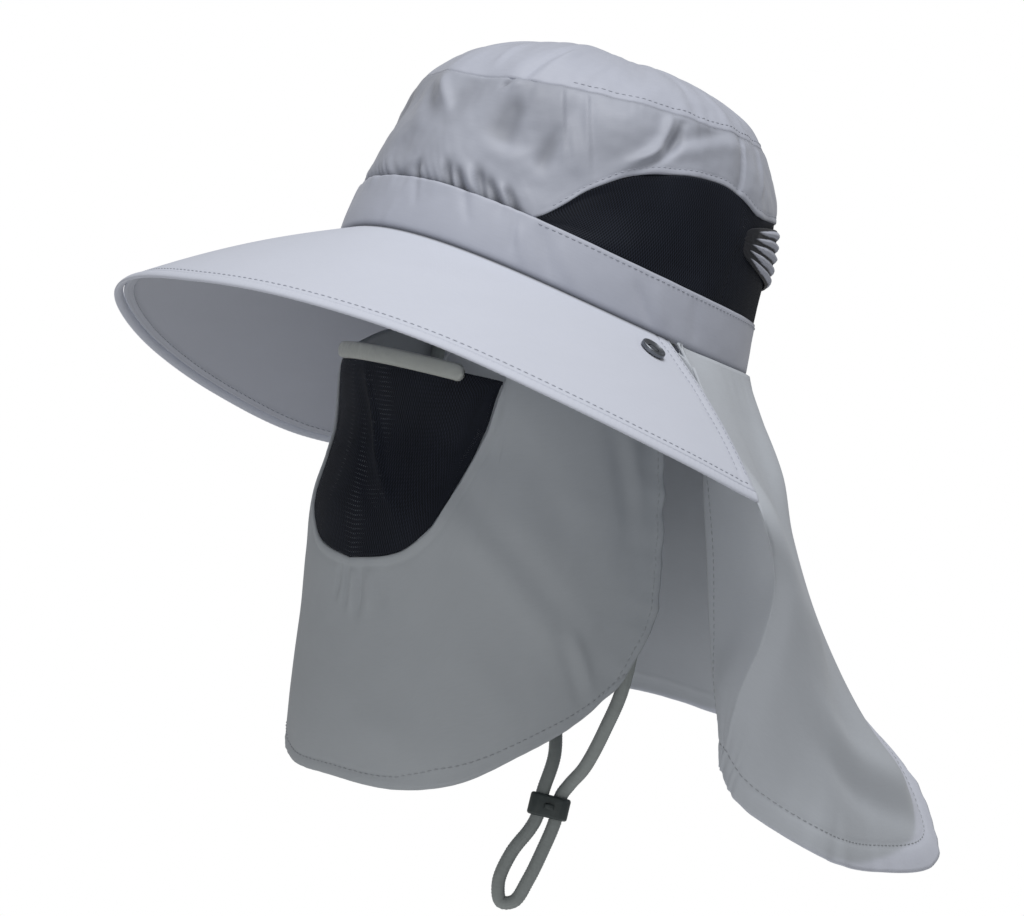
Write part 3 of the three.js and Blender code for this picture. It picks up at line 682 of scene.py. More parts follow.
class Cloth:
    """A sheet's outer grid, for laying stitches and trims on it, with the object made from it."""

    def __init__(self, name, columns, rows, wall, at, material, round_=False, pole=False, relief=None,
                 deep=None, back_shade=0.0):
        count = columns if round_ else columns + 1
        self.round = round_
        self.columns, self.rows, self.wall = columns, rows, wall
        u, v = np.meshgrid(np.arange(count) / columns, np.arange(rows + 1) / rows)
        base = at(u, v)
        normal = self.normals_of(base, pole)
        lift = np.zeros_like(u) if relief is None else relief(u, v)
        self.points = base + normal * lift[..., None]
        self.normals = self.normals_of(self.points, pole)
        self.deep = np.zeros(u.size) if deep is None else np.clip(deep(u, v), 0, 1).ravel()
        self.back_shade = back_shade
        self.piece = self.build(name, material, self.points - normal * wall, pole)

    def normals_of(self, grid, pole):
        """Unit directions outwards at each place of a grid. A pole's own points up."""
        if self.round:
            by_u = np.roll(grid, -1, axis=1) - np.roll(grid, 1, axis=1)
        else:
            by_u = np.gradient(grid, axis=1)
        by_v = np.gradient(grid, axis=0)
        normal = np.cross(by_u, by_v)
        size = np.linalg.norm(normal, axis=2)[..., None]
        normal = normal / np.maximum(size, 1e-9)
        if pole:
            normal[-1] = (0, 0, 1)
        return normal

    def cut_of(self, grid):
        """Each place's distance across and up the cloth, in millimetres."""
        steps = np.linalg.norm(np.diff(grid, axis=1), axis=2)
        x = np.concatenate([np.zeros((grid.shape[0], 1)), np.cumsum(steps, axis=1)], axis=1)
        x -= x[:, x.shape[1] // 2][:, None]
        rise = np.linalg.norm(np.diff(grid, axis=0), axis=2).mean(axis=1)
        y = np.concatenate([[0], np.cumsum(rise)])
        return np.stack([x, np.broadcast_to(y[:, None], x.shape)], -1)

    def build(self, name, material, inner, pole):
        """The closed sheet between the outer grid and the inner one, with its raw edges rounded."""
        rows = self.rows
        count = self.points.shape[1]
        cut = self.cut_of(self.points).reshape(-1, 2)
        outer_at = np.arange((rows + 1) * count).reshape(rows + 1, count)
        if self.round:
            outer_at = np.concatenate([outer_at, outer_at[:, :1]], axis=1)
        size = (rows + 1) * count
        if pole:
            outer_at[-1] = rows * count
        inner_at = outer_at + size
        a, b = outer_at[:-1, :-1], outer_at[:-1, 1:]
        c, d = outer_at[1:, 1:], outer_at[1:, :-1]
        quads = [np.stack([a, b, c, d], -1).reshape(-1, 4),
                 np.stack([b, a, d, c], -1).reshape(-1, 4) + size]
        points = [self.points.reshape(-1, 3), inner.reshape(-1, 3)]
        cuts = [cut, cut]
        # The inner side is mixed at least this far towards the second colour, as painted shade under the
        # brim.
        deeps = [self.deep, np.maximum(self.deep, self.back_shade)]
        made = 2 * size

        def edge(outer_line, inner_line, outward):
            """Round a raw edge over with a line of points halfway through the wall."""
            nonlocal made
            middle = (points[0][outer_line] + points[1][inner_line - size]) / 2
            middle = middle + outward * self.wall * EDGE_ROLL
            line = np.arange(made, made + len(outer_line))
            if self.round:
                line[-1] = line[0]
                middle = middle[:-1]
            points.append(middle)
            cuts.append(cut[outer_line][:len(middle)])
            deeps.append(self.deep[outer_line][:len(middle)])
            made += len(middle)
            for first, second in ((outer_line, line), (line, inner_line)):
                quads.append(np.stack([first[1:], first[:-1], second[:-1], second[1:]], -1))

        def away(line, behind):
            """Directions from the line behind an edge out over the edge."""
            step = self.points.reshape(-1, 3)[line] - self.points.reshape(-1, 3)[behind]
            return step / np.maximum(np.linalg.norm(step, axis=1), 1e-9)[:, None]

        edge(outer_at[0], inner_at[0], away(outer_at[0], outer_at[1]))
        if not pole:
            edge(outer_at[-1][::-1], inner_at[-1][::-1], away(outer_at[-1], outer_at[-2])[::-1])
        if not self.round:
            edge(outer_at[:, 0][::-1], inner_at[:, 0][::-1], away(outer_at[:, 0], outer_at[:, 1])[::-1])
            edge(outer_at[:, -1], inner_at[:, -1], away(outer_at[:, -1], outer_at[:, -2]))
        faces = np.concatenate(quads)
        faces = [tuple(dict.fromkeys(face)) for face in faces.tolist()]
        faces = [face for face in faces if len(face) > 2]
        piece = mesh_piece(name, np.concatenate(points), faces, material, np.concatenate(cuts))
        layer = piece.data.attributes.new("deep", "FLOAT", "POINT")
        layer.data.foreach_set("value", np.concatenate(deeps).astype(np.float32))
        if pole or not self.round:
            edit_all(piece)
            bpy.ops.mesh.remove_doubles(threshold=MERGE_DISTANCE)
            bpy.ops.mesh.delete_loose()
            done()
        return piece

    def sample(self, grid, u, v):
        """Values of a grid between its places."""
        u = np.asarray(u, float) * self.columns
        v = np.clip(np.asarray(v, float) * self.rows, 0, self.rows - 1e-6)
        count = grid.shape[1]
        u = u % self.columns if self.round else np.clip(u, 0, self.columns - 1e-6)
        i, j = u.astype(int), v.astype(int)
        s, t = (u - i)[..., None], (v - j)[..., None]
        right = (i + 1) % count
        low = grid[j, i] * (1 - s) + grid[j, right] * s
        high = grid[j + 1, i] * (1 - s) + grid[j + 1, right] * s
        return low * (1 - t) + high * t

    def at(self, u, v):
        """Places on the outer side."""
        return self.sample(self.points, u, v)

    def normal(self, u, v):
        """Directions out of the outer side."""
        return self.sample(self.normals, u, v)


# %% [markdown]
# ## Folds and puckers
# A fold is a line on the cloth with a width and a height. A soft one rises and falls evenly, and a tuck
# drops sharply on one side, where the cloth lies over itself. Tables of such lines give each piece the
# folds of the real one, and ripples add the small unevenness that any sewn cloth has.

# %% Folds
FOLD_FADE = 0.1
TUCK_EDGE = 0.7


def folds(rows, x, y):
    """Height of all the folds of a table at places x, y. Each runs from one place to another."""
    height = np.zeros(np.broadcast(x, y).shape)
    for row in rows:
        (x0, y0), (x1, y1) = row["start"], row["end"]
        length = math.hypot(x1 - x0, y1 - y0)
        ahead = ((x - x0) * (x1 - x0) + (y - y0) * (y1 - y0)) / length
        aside = ((x - x0) * (y1 - y0) - (y - y0) * (x1 - x0)) / length
        aside = aside - row.get("bow", 0) * np.sin(np.clip(ahead / length, 0, 1) * math.pi)
        fade = soft_step(ahead, FOLD_FADE * length) * soft_step(length - ahead, FOLD_FADE * length)
        if row.get("tuck"):
            shape = np.exp(-np.abs(aside) / row["wide"]) * (0.5 + 0.5 * np.tanh(aside / TUCK_EDGE))
        else:
            shape = bump(aside, row["wide"])
        height += row["high"] * fade * shape
    return height


def widened(rows, width):
    """The same folds with the first number of each place times a width, as in degrees to millimetres."""
    return [dict(row, start=(row["start"][0] * width, row["start"][1]),
                 end=(row["end"][0] * width, row["end"][1])) for row in rows]


def spun(line, outward):
    """Unit directions along a line, and those square to it that are closest to the given ones."""
    ahead = np.gradient(line, axis=0)
    ahead /= np.maximum(np.linalg.norm(ahead, axis=1), 1e-9)[:, None]
    outward = outward - ahead * (outward * ahead).sum(1)[:, None]
    return ahead, outward / np.maximum(np.linalg.norm(outward, axis=1), 1e-9)[:, None]


# %% [markdown]
# ## Stitches
# One stitch is modelled by hand as a small bent thread: a sphere that is stretched and then lowered at
# both ends. Its mesh is copied along each seam, once for every stitch, so that the seams stand out from
# the cloth in the finished model as well as in the picture.

# %% Stitch
STITCH_STEP = 3.0
STITCH_LENGTH = 2.3
STITCH_RADIUS = 0.26
STITCH_BEND = 0.22
bpy.ops.object.select_all(action="DESELECT")
bpy.ops.mesh.primitive_uv_sphere_add(segments=6, ring_count=5, radius=1)
stitch = bpy.context.object
stitch.name = "one_stitch"
edit_all(stitch)
bpy.ops.transform.rotate(value=math.pi / 2, orient_axis="Y", center_override=(0, 0, 0))
bpy.ops.transform.resize(value=(STITCH_LENGTH / 2, STITCH_RADIUS, STITCH_RADIUS))
done()
stitch_points = np.array([tuple(v.co) for v in stitch.data.vertices])
stitch_points[:, 2] -= STITCH_BEND * (stitch_points[:, 0] / (STITCH_LENGTH / 2)) ** 2
stitch_faces = [tuple(face.vertices) for face in stitch.data.polygons]
bpy.data.objects.remove(stitch)


def seam(name, cloth, lines, slot, lift=0.12, material=thread_cloth):
    """Stitches along lines on a cloth. Each line gives its u and v shares at many places."""
    points, faces = [], []
    for u, v in lines:
        line = cloth.at(u, v)
        gone = np.concatenate([[0], np.cumsum(np.linalg.norm(np.diff(line, axis=0), axis=1))])
        marks = np.arange(STITCH_STEP / 2, gone[-1] - STITCH_STEP / 3, STITCH_STEP)
        ahead, outward = spun(line, cloth.normal(u, v))
        here, way, out = (np.stack([np.interp(marks, gone, field[:, k]) for k in range(3)], 1)
                          for field in (line, ahead, outward))
        beside = np.cross(out, way)
        for centre, x, y, z in zip(here + out * lift, way, beside, out):
            faces.extend(tuple(len(points) * len(stitch_points) + i for i in face) for face in stitch_faces)
            points.append(centre + stitch_points @ np.stack([x, y, z]))
    piece = mesh_piece(name, np.concatenate(points), faces, material, np.concatenate(points)[:, :2])
    worn(piece, slot)
    print(name, "stitches:", len(points))


def level(v, start=0.0, end=1.0, count=900):
    """A line at one height of a cloth."""
    return np.linspace(start, end, count), np.full(count, v)


def upright(u, start=0.0, end=1.0, count=300):
    """A line at one place across a cloth."""
    return np.full(count, u), np.linspace(start, end, count)


# %% [markdown]
# ## The crown
# The crown is a soft dome. A table gives its size at each height, as shares of the head's, and a few
# dents press it in where the thin cloth has sunk. The headband, the side cloth, the top cloth and the
# net panels all lie on this one form, so their edges meet.

# %% Crown form
HEAD_HALF_WIDTH = 81
HEAD_HALF_LENGTH = 98.7
BAND_HEIGHT = 23
CROWN_HEIGHT = 104
TOP_SEAM_HEIGHT = 77.5
TOP_SEAM_RISE = 4.5
FABRIC_WALL = 1.2
GAP = 0.3
CROWN_SECTIONS = [
    {"height": -0.2, "share": 1.013, "lean": -0.016},
    {"height": 0, "share": 1, "lean": -0.016},
    {"height": 0.19, "share": 0.983, "lean": 0.01},
    {"height": 0.37, "share": 0.967, "lean": 0.033},
    {"height": 0.56, "share": 0.921, "lean": 0.041},
    {"height": 0.7, "share": 0.855, "lean": 0.044},
    {"height": 0.8, "share": 0.768, "lean": 0.059},
    {"height": 0.87, "share": 0.676, "lean": 0.085},
    {"height": 0.93, "share": 0.532, "lean": 0.102},
    {"height": 0.967, "share": 0.394, "lean": 0.118},
    {"height": 0.99, "share": 0.215, "lean": 0.123},
    {"height": 1, "share": 0, "lean": 0.123},
]
CROWN_DENTS = [
    {"angle": 14, "height": 0.62, "wide": 9, "tall": 0.16, "depth": 0.022},
    {"angle": 30, "height": 0.45, "wide": 10, "tall": 0.14, "depth": 0.014},
    {"angle": 50, "height": 0.6, "wide": 5, "tall": 0.16, "depth": 0.018},
    {"angle": 64, "height": 0.6, "wide": 8, "tall": 0.1, "depth": -0.02},
    {"angle": 76, "height": 0.6, "wide": 6, "tall": 0.09, "depth": 0.024},
    {"angle": 100, "height": 0.62, "wide": 10, "tall": 0.08, "depth": -0.012},
]


def aside_of(angle):
    """Degrees round from the front, the same on both sides."""
    return np.abs((np.asarray(angle, float) + 180) % 360 - 180)


def band_line(angle):
    """Height of the headband's lower edge, which dips at the sides and the back."""
    a = np.asarray(angle, float) * TURN
    return -4.9 * (1 - np.cos(2 * a)) - 7.7 * (1 - np.cos(a))


def crown_point(angle, z, proud=0.0):
    """A place on the crown's form, or proud of it, at degrees round from the front and a height."""
    angle, z = np.broadcast_arrays(np.asarray(angle, float), np.asarray(z, float))
    a = angle * TURN
    height = z / CROWN_HEIGHT
    share = along(CROWN_SECTIONS, "height", "share", height)
    lean = along(CROWN_SECTIONS, "height", "lean", height) * HEAD_HALF_LENGTH
    push = np.zeros(a.shape) + proud
    for dent in CROWN_DENTS:
        round_it = bump(aside_of(angle) - dent["angle"], dent["wide"])
        up_it = bump(height - dent["height"], dent["tall"])
        push = push - dent["depth"] * CROWN_HEIGHT * round_it * up_it
    wide = HEAD_HALF_WIDTH * share + push
    long = HEAD_HALF_LENGTH * share + push
    return np.stack([wide * np.sin(a), lean - long * np.cos(a), z], -1)


WINDOW_EDGE = [
    {"angle": 46, "height": 0.215}, {"angle": 49, "height": 0.25}, {"angle": 53, "height": 0.32},
    {"angle": 57, "height": 0.4}, {"angle": 61, "height": 0.46}, {"angle": 66, "height": 0.525},
    {"angle": 72, "height": 0.58}, {"angle": 79, "height": 0.625}, {"angle": 87, "height": 0.665},
    {"angle": 98, "height": 0.69}, {"angle": 107, "height": 0.675}, {"angle": 117, "height": 0.64},
    {"angle": 140, "height": 0.66}, {"angle": 180, "height": 0.665},
]
WINDOW_START = 46
NET_SEAM_ANGLE = 108


def window_top(angle):
    """Height of the net windows' upper edge."""
    return band_line(angle) + along(WINDOW_EDGE, "angle", "height", aside_of(angle)) * CROWN_HEIGHT


def top_seam(angle):
    """Height of the seam between the side cloth and the top cloth."""
    return TOP_SEAM_HEIGHT - TOP_SEAM_RISE * np.cos(np.asarray(angle, float) * TURN)


# %% [markdown]
# ## Headband
# The headband is a doubled strip, so it is a little fuller in its middle than at its edges, and it
# creases slantwise where the crown pulls on it. Under the net windows a line of stitches runs just
# below its upper edge, and at the front that edge is puckered by the crown's gathers.

# %% Headband
BAND_CREASES = [
    {"start": (44, 7), "end": (42, 22), "wide": 1.6, "high": -0.7},
    {"start": (48, 4), "end": (44, 17), "wide": 2, "high": 0.7},
    {"start": (55, 5), "end": (50, 20), "wide": 2.4, "high": -0.8},
    {"start": (61, 4), "end": (56, 17), "wide": 2.6, "high": 0.6},
    {"start": (84, 3), "end": (78, 15), "wide": 2.4, "high": -0.7},
    {"start": (88, 4), "end": (84, 18), "wide": 3, "high": 0.5},
    {"start": (100, 5), "end": (97, 19), "wide": 3.2, "high": -0.6},
    {"start": (30, 12), "end": (26, 22), "wide": 1.8, "high": -0.6},
    {"start": (12, 12), "end": (9, 22), "wide": 1.8, "high": -0.6},
    {"start": (3, 2), "end": (5, 12), "wide": 2.4, "high": 0.4},
    {"start": (-28, 4), "end": (-24, 19), "wide": 3, "high": -0.5},
    {"start": (-75, 4), "end": (-82, 18), "wide": 3, "high": -0.6},
    {"start": (150, 4), "end": (156, 19), "wide": 3, "high": -0.6},
]
BAND_UNEVEN = [
    {"high": 0.45, "fine": 0.035, "seed": 7.7},
    {"high": 0.15, "fine": 0.11, "seed": 1.7},
]
BAND_PROUD = 0.5
BAND_WALL = 1.8
STITCH_BELOW_EDGE = 1.6
DEGREE_WIDTH = 1.6


def signed(angle):
    """Degrees round from the front, from -180 on the wearer's right to 180."""
    return (np.asarray(angle, float) + 180) % 360 - 180


def crown_folds(rows, angle, z):
    """Folds given by degrees round the crown and a height, at places on it."""
    return folds(widened(rows, DEGREE_WIDTH), signed(angle) * DEGREE_WIDTH, z)


def band_at(u, v):
    return crown_point(u * 360, band_line(u * 360) + v * BAND_HEIGHT, BAND_PROUD)


def band_relief(u, v):
    angle, y = u * 360, v * BAND_HEIGHT
    full = 0.4 * np.sin(v * math.pi) ** 0.5 - 0.5 * bump(y, 1.1)
    front = soft_step(WINDOW_START - aside_of(angle), 2)
    pucker = front * bump(y - BAND_HEIGHT, 6) * 0.9 * round_ripple(angle, y * 0.3, 0.22, 3.1)
    return full + pucker + round_uneven(BAND_UNEVEN, angle, y) + crown_folds(BAND_CREASES, angle, y)


# Its deep attribute paints shade along its lower edge, in the seam line over the brim.
headband = Cloth("headband_cloth", 480, 26, BAND_WALL, band_at, crown_cloth, round_=True, relief=band_relief,
                 deep=lambda u, v: 0.5 * bump(v * BAND_HEIGHT, 0.9))
worn(headband.piece, "band_fabric", "headband")
first_stitch = (WINDOW_START + 2) / 360
band_edge = level(1 - STITCH_BELOW_EDGE / BAND_HEIGHT, first_stitch, 1 - first_stitch, 1500)
seam("headband_stitches", headband, [band_edge], "band_fabric")

# %% [markdown]
# ## Side of the crown
# The side cloth is gathered into the headband at the front, tucked where it meets the top, and cut
# away over the net windows, where its edge is turned under and stitched. The gathers are crowded,
# uneven and short, as a drawn thread leaves them.

# %% Side of the crown
SIDE_FOLDS = [
    {"start": (41.5, 78), "end": (50, 42), "wide": 5, "high": 1.5, "tuck": True},
    {"start": (49.5, 79), "end": (56.5, 43), "wide": 5, "high": 1.6, "tuck": True},
    {"start": (48, 58), "end": (53.5, 40), "wide": 3.5, "high": 1.1},
    {"start": (28, 79), "end": (23, 70), "wide": 1.7, "high": -2.0},
    {"start": (31, 79), "end": (27, 68), "wide": 2.4, "high": 1.0},
    {"start": (29, 44), "end": (31, 64), "wide": 9, "high": -1.8},
    {"start": (43, 38), "end": (46, 54), "wide": 5, "high": -1.5},
    {"start": (36, 72), "end": (34, 50), "wide": 5, "high": 0.9},
    {"start": (78, 75), "end": (66, 48), "wide": 2.8, "high": 2.0, "bow": -4},
    {"start": (82, 73), "end": (70, 49), "wide": 2.4, "high": -1.8, "bow": -4},
    {"start": (108, 74), "end": (68, 47), "wide": 4, "high": 1.5, "bow": 5},
    {"start": (98, 77), "end": (76, 60), "wide": 4, "high": -1.0},
    {"start": (111, 84), "end": (105, 52), "wide": 5, "high": -1.6, "tuck": True},
    {"start": (126, 82), "end": (118, 58), "wide": 3, "high": 1.1},
    {"start": (8, 55), "end": (-3, 70), "wide": 2.6, "high": 1.4},
    {"start": (3, 52), "end": (-9, 66), "wide": 4, "high": -1.2},
    {"start": (12, 72), "end": (8, 50), "wide": 8, "high": -0.8},
    {"start": (40, 36), "end": (24, 44), "wide": 5, "high": 0.9},
    {"start": (21, 19), "end": (17, 31), "wide": 2.2, "high": -2.2},
    {"start": (26, 18), "end": (21, 29), "wide": 1.8, "high": -2.0},
    {"start": (29, 18), "end": (24, 30), "wide": 2.2, "high": 1.2},
    {"start": (32, 18), "end": (27, 30), "wide": 2, "high": -2.4},
    {"start": (37, 17), "end": (31, 27), "wide": 1.8, "high": -2.2},
    {"start": (40, 16), "end": (35, 25), "wide": 1.8, "high": 1.2},
    {"start": (43, 14), "end": (37, 25), "wide": 2, "high": -2.2},
    {"start": (8, 21), "end": (6, 30), "wide": 2, "high": -1.6},
    {"start": (150, 82), "end": (144, 60), "wide": 4, "high": 1.2, "tuck": True},
    {"start": (-168, 82), "end": (-170, 62), "wide": 4, "high": 1.2, "tuck": True},
    {"start": (-46, 79), "end": (-53, 45), "wide": 5, "high": 1.4, "tuck": True},
    {"start": (-84, 76), "end": (-70, 49), "wide": 3.5, "high": 1.3, "bow": 4},
    {"start": (-25, 45), "end": (-30, 62), "wide": 8, "high": -1.4},
]
CROWN_UNEVEN = [
    {"high": 2.4, "fine": 0.024, "seed": 2.2},
    {"high": 0.8, "fine": 0.07, "seed": 4.5},
    {"high": 0.25, "fine": 0.2, "seed": 6.1},
]
BAND_GATHERS = {"count": 66, "depth": 2.2, "reach": 5, "seed": 1.3}
SEAM_PUCKERS = {"count": 60, "depth": 0.5, "reach": 5, "seed": 9.4}
SIDE_FOLD_SHARE = 1.25
WINDOW_STITCH_RISE = 2.6


def side_low(angle):
    """Height of the side cloth's lower edge, over the headband or a window."""
    over_band = band_line(angle) + BAND_HEIGHT + GAP
    return np.where(aside_of(angle) < WINDOW_START, over_band, window_top(angle) + GAP)


def side_at(u, v):
    angle = u * 360
    low = side_low(angle)
    return crown_point(angle, low + v * (top_seam(angle) - low))


def crown_soft(angle, z):
    """Broad unevenness that the side cloth and the top cloth share, so that they meet in the seam."""
    return round_uneven(CROWN_UNEVEN, angle, z) - 0.3


def gathers(angle, above, count, depth, reach, seed):
    """Crowded uneven pleats that start at a seam and die out above it, with bare stretches between."""
    crowd = angle * count / 360 + 2.6 * round_ripple(angle, above * 0.5, 0.045, seed)
    pleats = np.abs(np.sin(crowd * math.pi)) ** 0.7 - 0.7
    full = np.clip(0.6 + 1.6 * round_ripple(angle, 0 * above, 0.06, seed + 5), 0.1, 1.2)
    return depth * pleats * full * np.exp(-np.maximum(above, 0) / (reach * (0.6 + 0.4 * full)))


def side_parts(u, v):
    """The side cloth's angle, height and sharp folds at places on it, with its distance from its edges."""
    angle = u * 360
    low, high = side_low(angle), top_seam(angle)
    z = low + v * (high - low)
    above, below = z - low, high - z
    front = soft_step(WINDOW_START - aside_of(angle), 1.2)
    creased = front * gathers(angle + above * 0.6, above, **BAND_GATHERS)
    creased += gathers(angle, below, **SEAM_PUCKERS)
    creased += SIDE_FOLD_SHARE * crown_folds(SIDE_FOLDS, angle, z) * np.clip(below / 3, 0.3, 1)
    return angle, z, above, below, front, creased


def side_relief(u, v):
    angle, z, above, below, front, creased = side_parts(u, v)
    rolled = (1 - front) * (0.18 * bump(above - 0.9, 0.9) - 0.15 * bump(above - 2.6, 0.6))
    pinched = front * (0.5 * bump(above - 5, 4) - 0.9 * bump(above, 1.5)) - 0.15 * bump(below, 1.0)
    return creased + rolled + pinched + crown_soft(angle, z)


def side_painted_shade(u, v):
    """Painted shade on the side cloth: in its creases, at both seams and in its broad hollows."""
    angle, z, above, below, front, creased = side_parts(u, v)
    in_creases = 0.42 * np.clip(-creased / 1.6, 0, 1)
    at_band = 0.5 * front * bump(above, 1.1)
    at_top = 0.3 * soft_step(signed(angle) - 42, 3) * bump(below, 0.7)
    in_hollows = 0.22 * np.clip(-round_ripple(angle, z, 0.03, 2.9) * 2.4, 0, 1)
    return in_creases + at_band + at_top + in_hollows


crown_side = Cloth("crown_side_cloth", 576, 50, FABRIC_WALL, side_at, shaded_side_cloth, round_=True,
                   relief=side_relief, deep=side_painted_shade)
worn(crown_side.piece, "crown_fabric", "crown_side")


def over_windows(rise, start, count=1200):
    """A line on the side cloth, a rise above its lower edge, from one angle round the back."""
    angle = np.linspace(start, 360 - start, count)
    return angle / 360, rise / (top_seam(angle) - side_low(angle))


seam("window_stitches", crown_side, [over_windows(WINDOW_STITCH_RISE, WINDOW_START + 4)], "crown_fabric",
     lift=0.02, material=shaded_side_cloth)

# %% [markdown]
# ## Top of the crown
# The top cloth is a flat oval that the side cloth is eased onto. The seam draws it in, so small
# puckers run up from it and fade on the dome, and a line of stitches holds the seam down.

# %% Top of the crown
TOP_FOLDS = [
    {"start": (28, 73), "end": (33, 92), "wide": 2.5, "high": -1.0},
    {"start": (32, 74), "end": (37, 94), "wide": 3, "high": 0.9},
    {"start": (47, 79), "end": (50, 94), "wide": 3.5, "high": 0.8},
    {"start": (88, 80), "end": (84, 96), "wide": 4, "high": -0.8},
    {"start": (104, 82), "end": (98, 98), "wide": 4, "high": 0.8},
    {"start": (14, 78), "end": (10, 92), "wide": 3, "high": 0.7},
]
TOP_PUCKERS = dict(SEAM_PUCKERS, reach=4.5)
TOP_STITCH_SHARE = 0.06
TOP_STITCH_START = 44 / 360


def top_place(u, v):
    """Angle, height and distance above the seam of a place on the top cloth."""
    angle = u * 360
    low = top_seam(angle) + GAP / 2
    above = np.sin(v * math.pi / 2) * (CROWN_HEIGHT - low)
    return angle, low + above, above


def top_at(u, v):
    angle, z, _ = top_place(u, v)
    return crown_point(angle, z)


def top_relief(u, v):
    angle, z, above = top_place(u, v)
    inside = np.clip((1 - v) * 3, 0, 1)
    lift = gathers(angle, above, **TOP_PUCKERS) - 0.15 * bump(above, 1.0) + crown_soft(angle, z)
    return (lift + crown_folds(TOP_FOLDS, angle, z)) * inside


crown_top = Cloth("crown_top_cloth", 340, 44, FABRIC_WALL, top_at, crown_cloth, round_=True, pole=True,
                  relief=top_relief)
worn(crown_top.piece, "crown_fabric", "crown_top")
top_edge = level(TOP_STITCH_SHARE, TOP_STITCH_START, 1 - TOP_STITCH_START, 1200)
seam("crown_top_stitches", crown_top, [top_edge], "crown_fabric")

# %% [markdown]
# ## Net panels
# The net is knitted, limp and nearly black. Three panels fill the windows, and slack in them shows as
# slow waves. The holes are the material's: a little over a millimetre apart, they are too fine to cut.

# %% Net panels
MESH_WALL = 1.0
MESH_SUNK = -0.2
NET_START = WINDOW_START + 1.5
NET_SEAM_GAP = 0.03


def net_panel(name, node, start, end, columns):
    """A net panel between two angles, with slack in it but not at its edges."""
    def at(u, v):
        angle = start + u * (end - start)
        low = band_line(angle) + BAND_HEIGHT + GAP
        return crown_point(angle, low + v * (window_top(angle) - GAP - low), MESH_SUNK)

    def relief(u, v):
        edge = np.clip(np.minimum(np.minimum(u, 1 - u) * 12, np.minimum(v, 1 - v) * 6), 0, 1)
        angle = start + u * (end - start)
        return 1.2 * edge * (ripple(angle * 0.06, v * 1.6, 5.5) - 0.3)

    panel = Cloth(name, columns, 36, MESH_WALL, at, net_cloth, relief=relief)
    worn(panel.piece, "mesh", node)
    return panel


before_seam = NET_SEAM_ANGLE - NET_SEAM_GAP
after_seam = NET_SEAM_ANGLE + NET_SEAM_GAP
net_left = net_panel("net_left", "mesh_left", NET_START, before_seam, 110)
net_back = net_panel("net_back", "mesh_back", after_seam, 360 - after_seam, 220)
net_right = net_panel("net_right", "mesh_right", 360 - before_seam, 360 - NET_START, 110)

# %% [markdown]
# ## Ruched panel
# Over the back net lies a strip of crown cloth that is drawn together into five ridges. It is pointed
# at both ends, where the ridges run together in the seam.

# %% Ruched panel
RUCHED_START = 111
RUCHED_MIDDLE = 0.515
RUCHED_HALF_HEIGHT = 0.125
RUCHED_RIDGES = 5
RIDGE_SHARPNESS = 0.62


def ruched_angle(u):
    return RUCHED_START + u * (360 - 2 * RUCHED_START)


def ruched_at(u, v):
    angle = ruched_angle(u)
    half = RUCHED_HALF_HEIGHT * CROWN_HEIGHT * np.sin(u * math.pi) ** 0.35 + 1.5
    z = band_line(angle) + RUCHED_MIDDLE * CROWN_HEIGHT + (2 * v - 1) * half
    return crown_point(angle, z, 0.2 + (FABRIC_WALL + 0.4) * np.clip(np.sin(u * math.pi) * 8, 0, 1))


def ruched_ridges(u, v):
    """Height of the ridges from 0 to 1, each thin and pointed at its own ends, and 0 between them."""
    wander = v + 0.03 * ripple(ruched_angle(u) * 0.11, v * 2, 8.8)
    reach = 0.35 * np.abs(v - 0.35)
    ends = np.clip((np.minimum(u, 1 - u) - 0.02 - reach * 0.12) * 16, 0, 1)
    sharp = np.abs(np.sin(wander * RUCHED_RIDGES * math.pi))
    return np.clip((sharp - 1 + RIDGE_SHARPNESS * ends) / RIDGE_SHARPNESS, 0, 1) ** 0.8


def ruched_relief(u, v):
    fine = 0.3 * ripple(ruched_angle(u) * 0.7, v * 9, 2.9) * np.sin(v * math.pi)
    return 1.4 * ruched_ridges(u, v) + fine - 0.5


# Between the ridges the cloth is painted near black, for the net that shows there and the shade in the
# valleys.
ruched = Cloth("ruched_panel", 220, 60, FABRIC_WALL, ruched_at, ruched_cloth, relief=ruched_relief,
               deep=lambda u, v: 1 - 4 * ruched_ridges(u, v))
worn(ruched.piece, "crown_fabric", "back_gathers")

# %% [markdown]
# ## Brim
# The brim is the one stiff part: two layers of cloth over a firm sheet. It lies on straight lines from
# the headband down to its rim, and its tables say how far out and how low the rim is, round the face.
# Rows of stitches follow the rim and the rear edges, each in a shallow groove that the thread pulls.

# %% Brim
BRIM_WIDTH = 100
BRIM_LEFT_END = 91
BRIM_RIGHT_END = 103.5
BRIM_CORNER_TURN = 2.4
BRIM_WALL = 2
BINDING_WIDTH = 4
BINDING_THICKNESS = 2.6
BRIM_CAMBER = 0.03
BRIM_ROWS = [
    {"angle": 0, "out": 0.867, "drop": 0.445},
    {"angle": 20, "out": 0.866, "drop": 0.438},
    {"angle": 40, "out": 0.868, "drop": 0.455},
    {"angle": 60, "out": 0.854, "drop": 0.517},
    {"angle": 76, "out": 0.834, "drop": 0.57},
    {"angle": 91, "out": 0.802, "drop": 0.611},
    {"angle": 104, "out": 0.775, "drop": 0.592},
]
RIM_SEAM = 7.5
REAR_SEAMS = (1.4, 7.2)
BRIM_PROUD = 0.5
BRIM_SWEEP = BRIM_LEFT_END + BRIM_RIGHT_END
# Painted shade: the brim's underside is mixed this far towards the dark second colour.
BRIM_UNDER_SHADE = 0.32
BINDING_REACH = 1 - BINDING_WIDTH / BRIM_WIDTH
BRIM_REACH = BINDING_REACH - GAP / BRIM_WIDTH


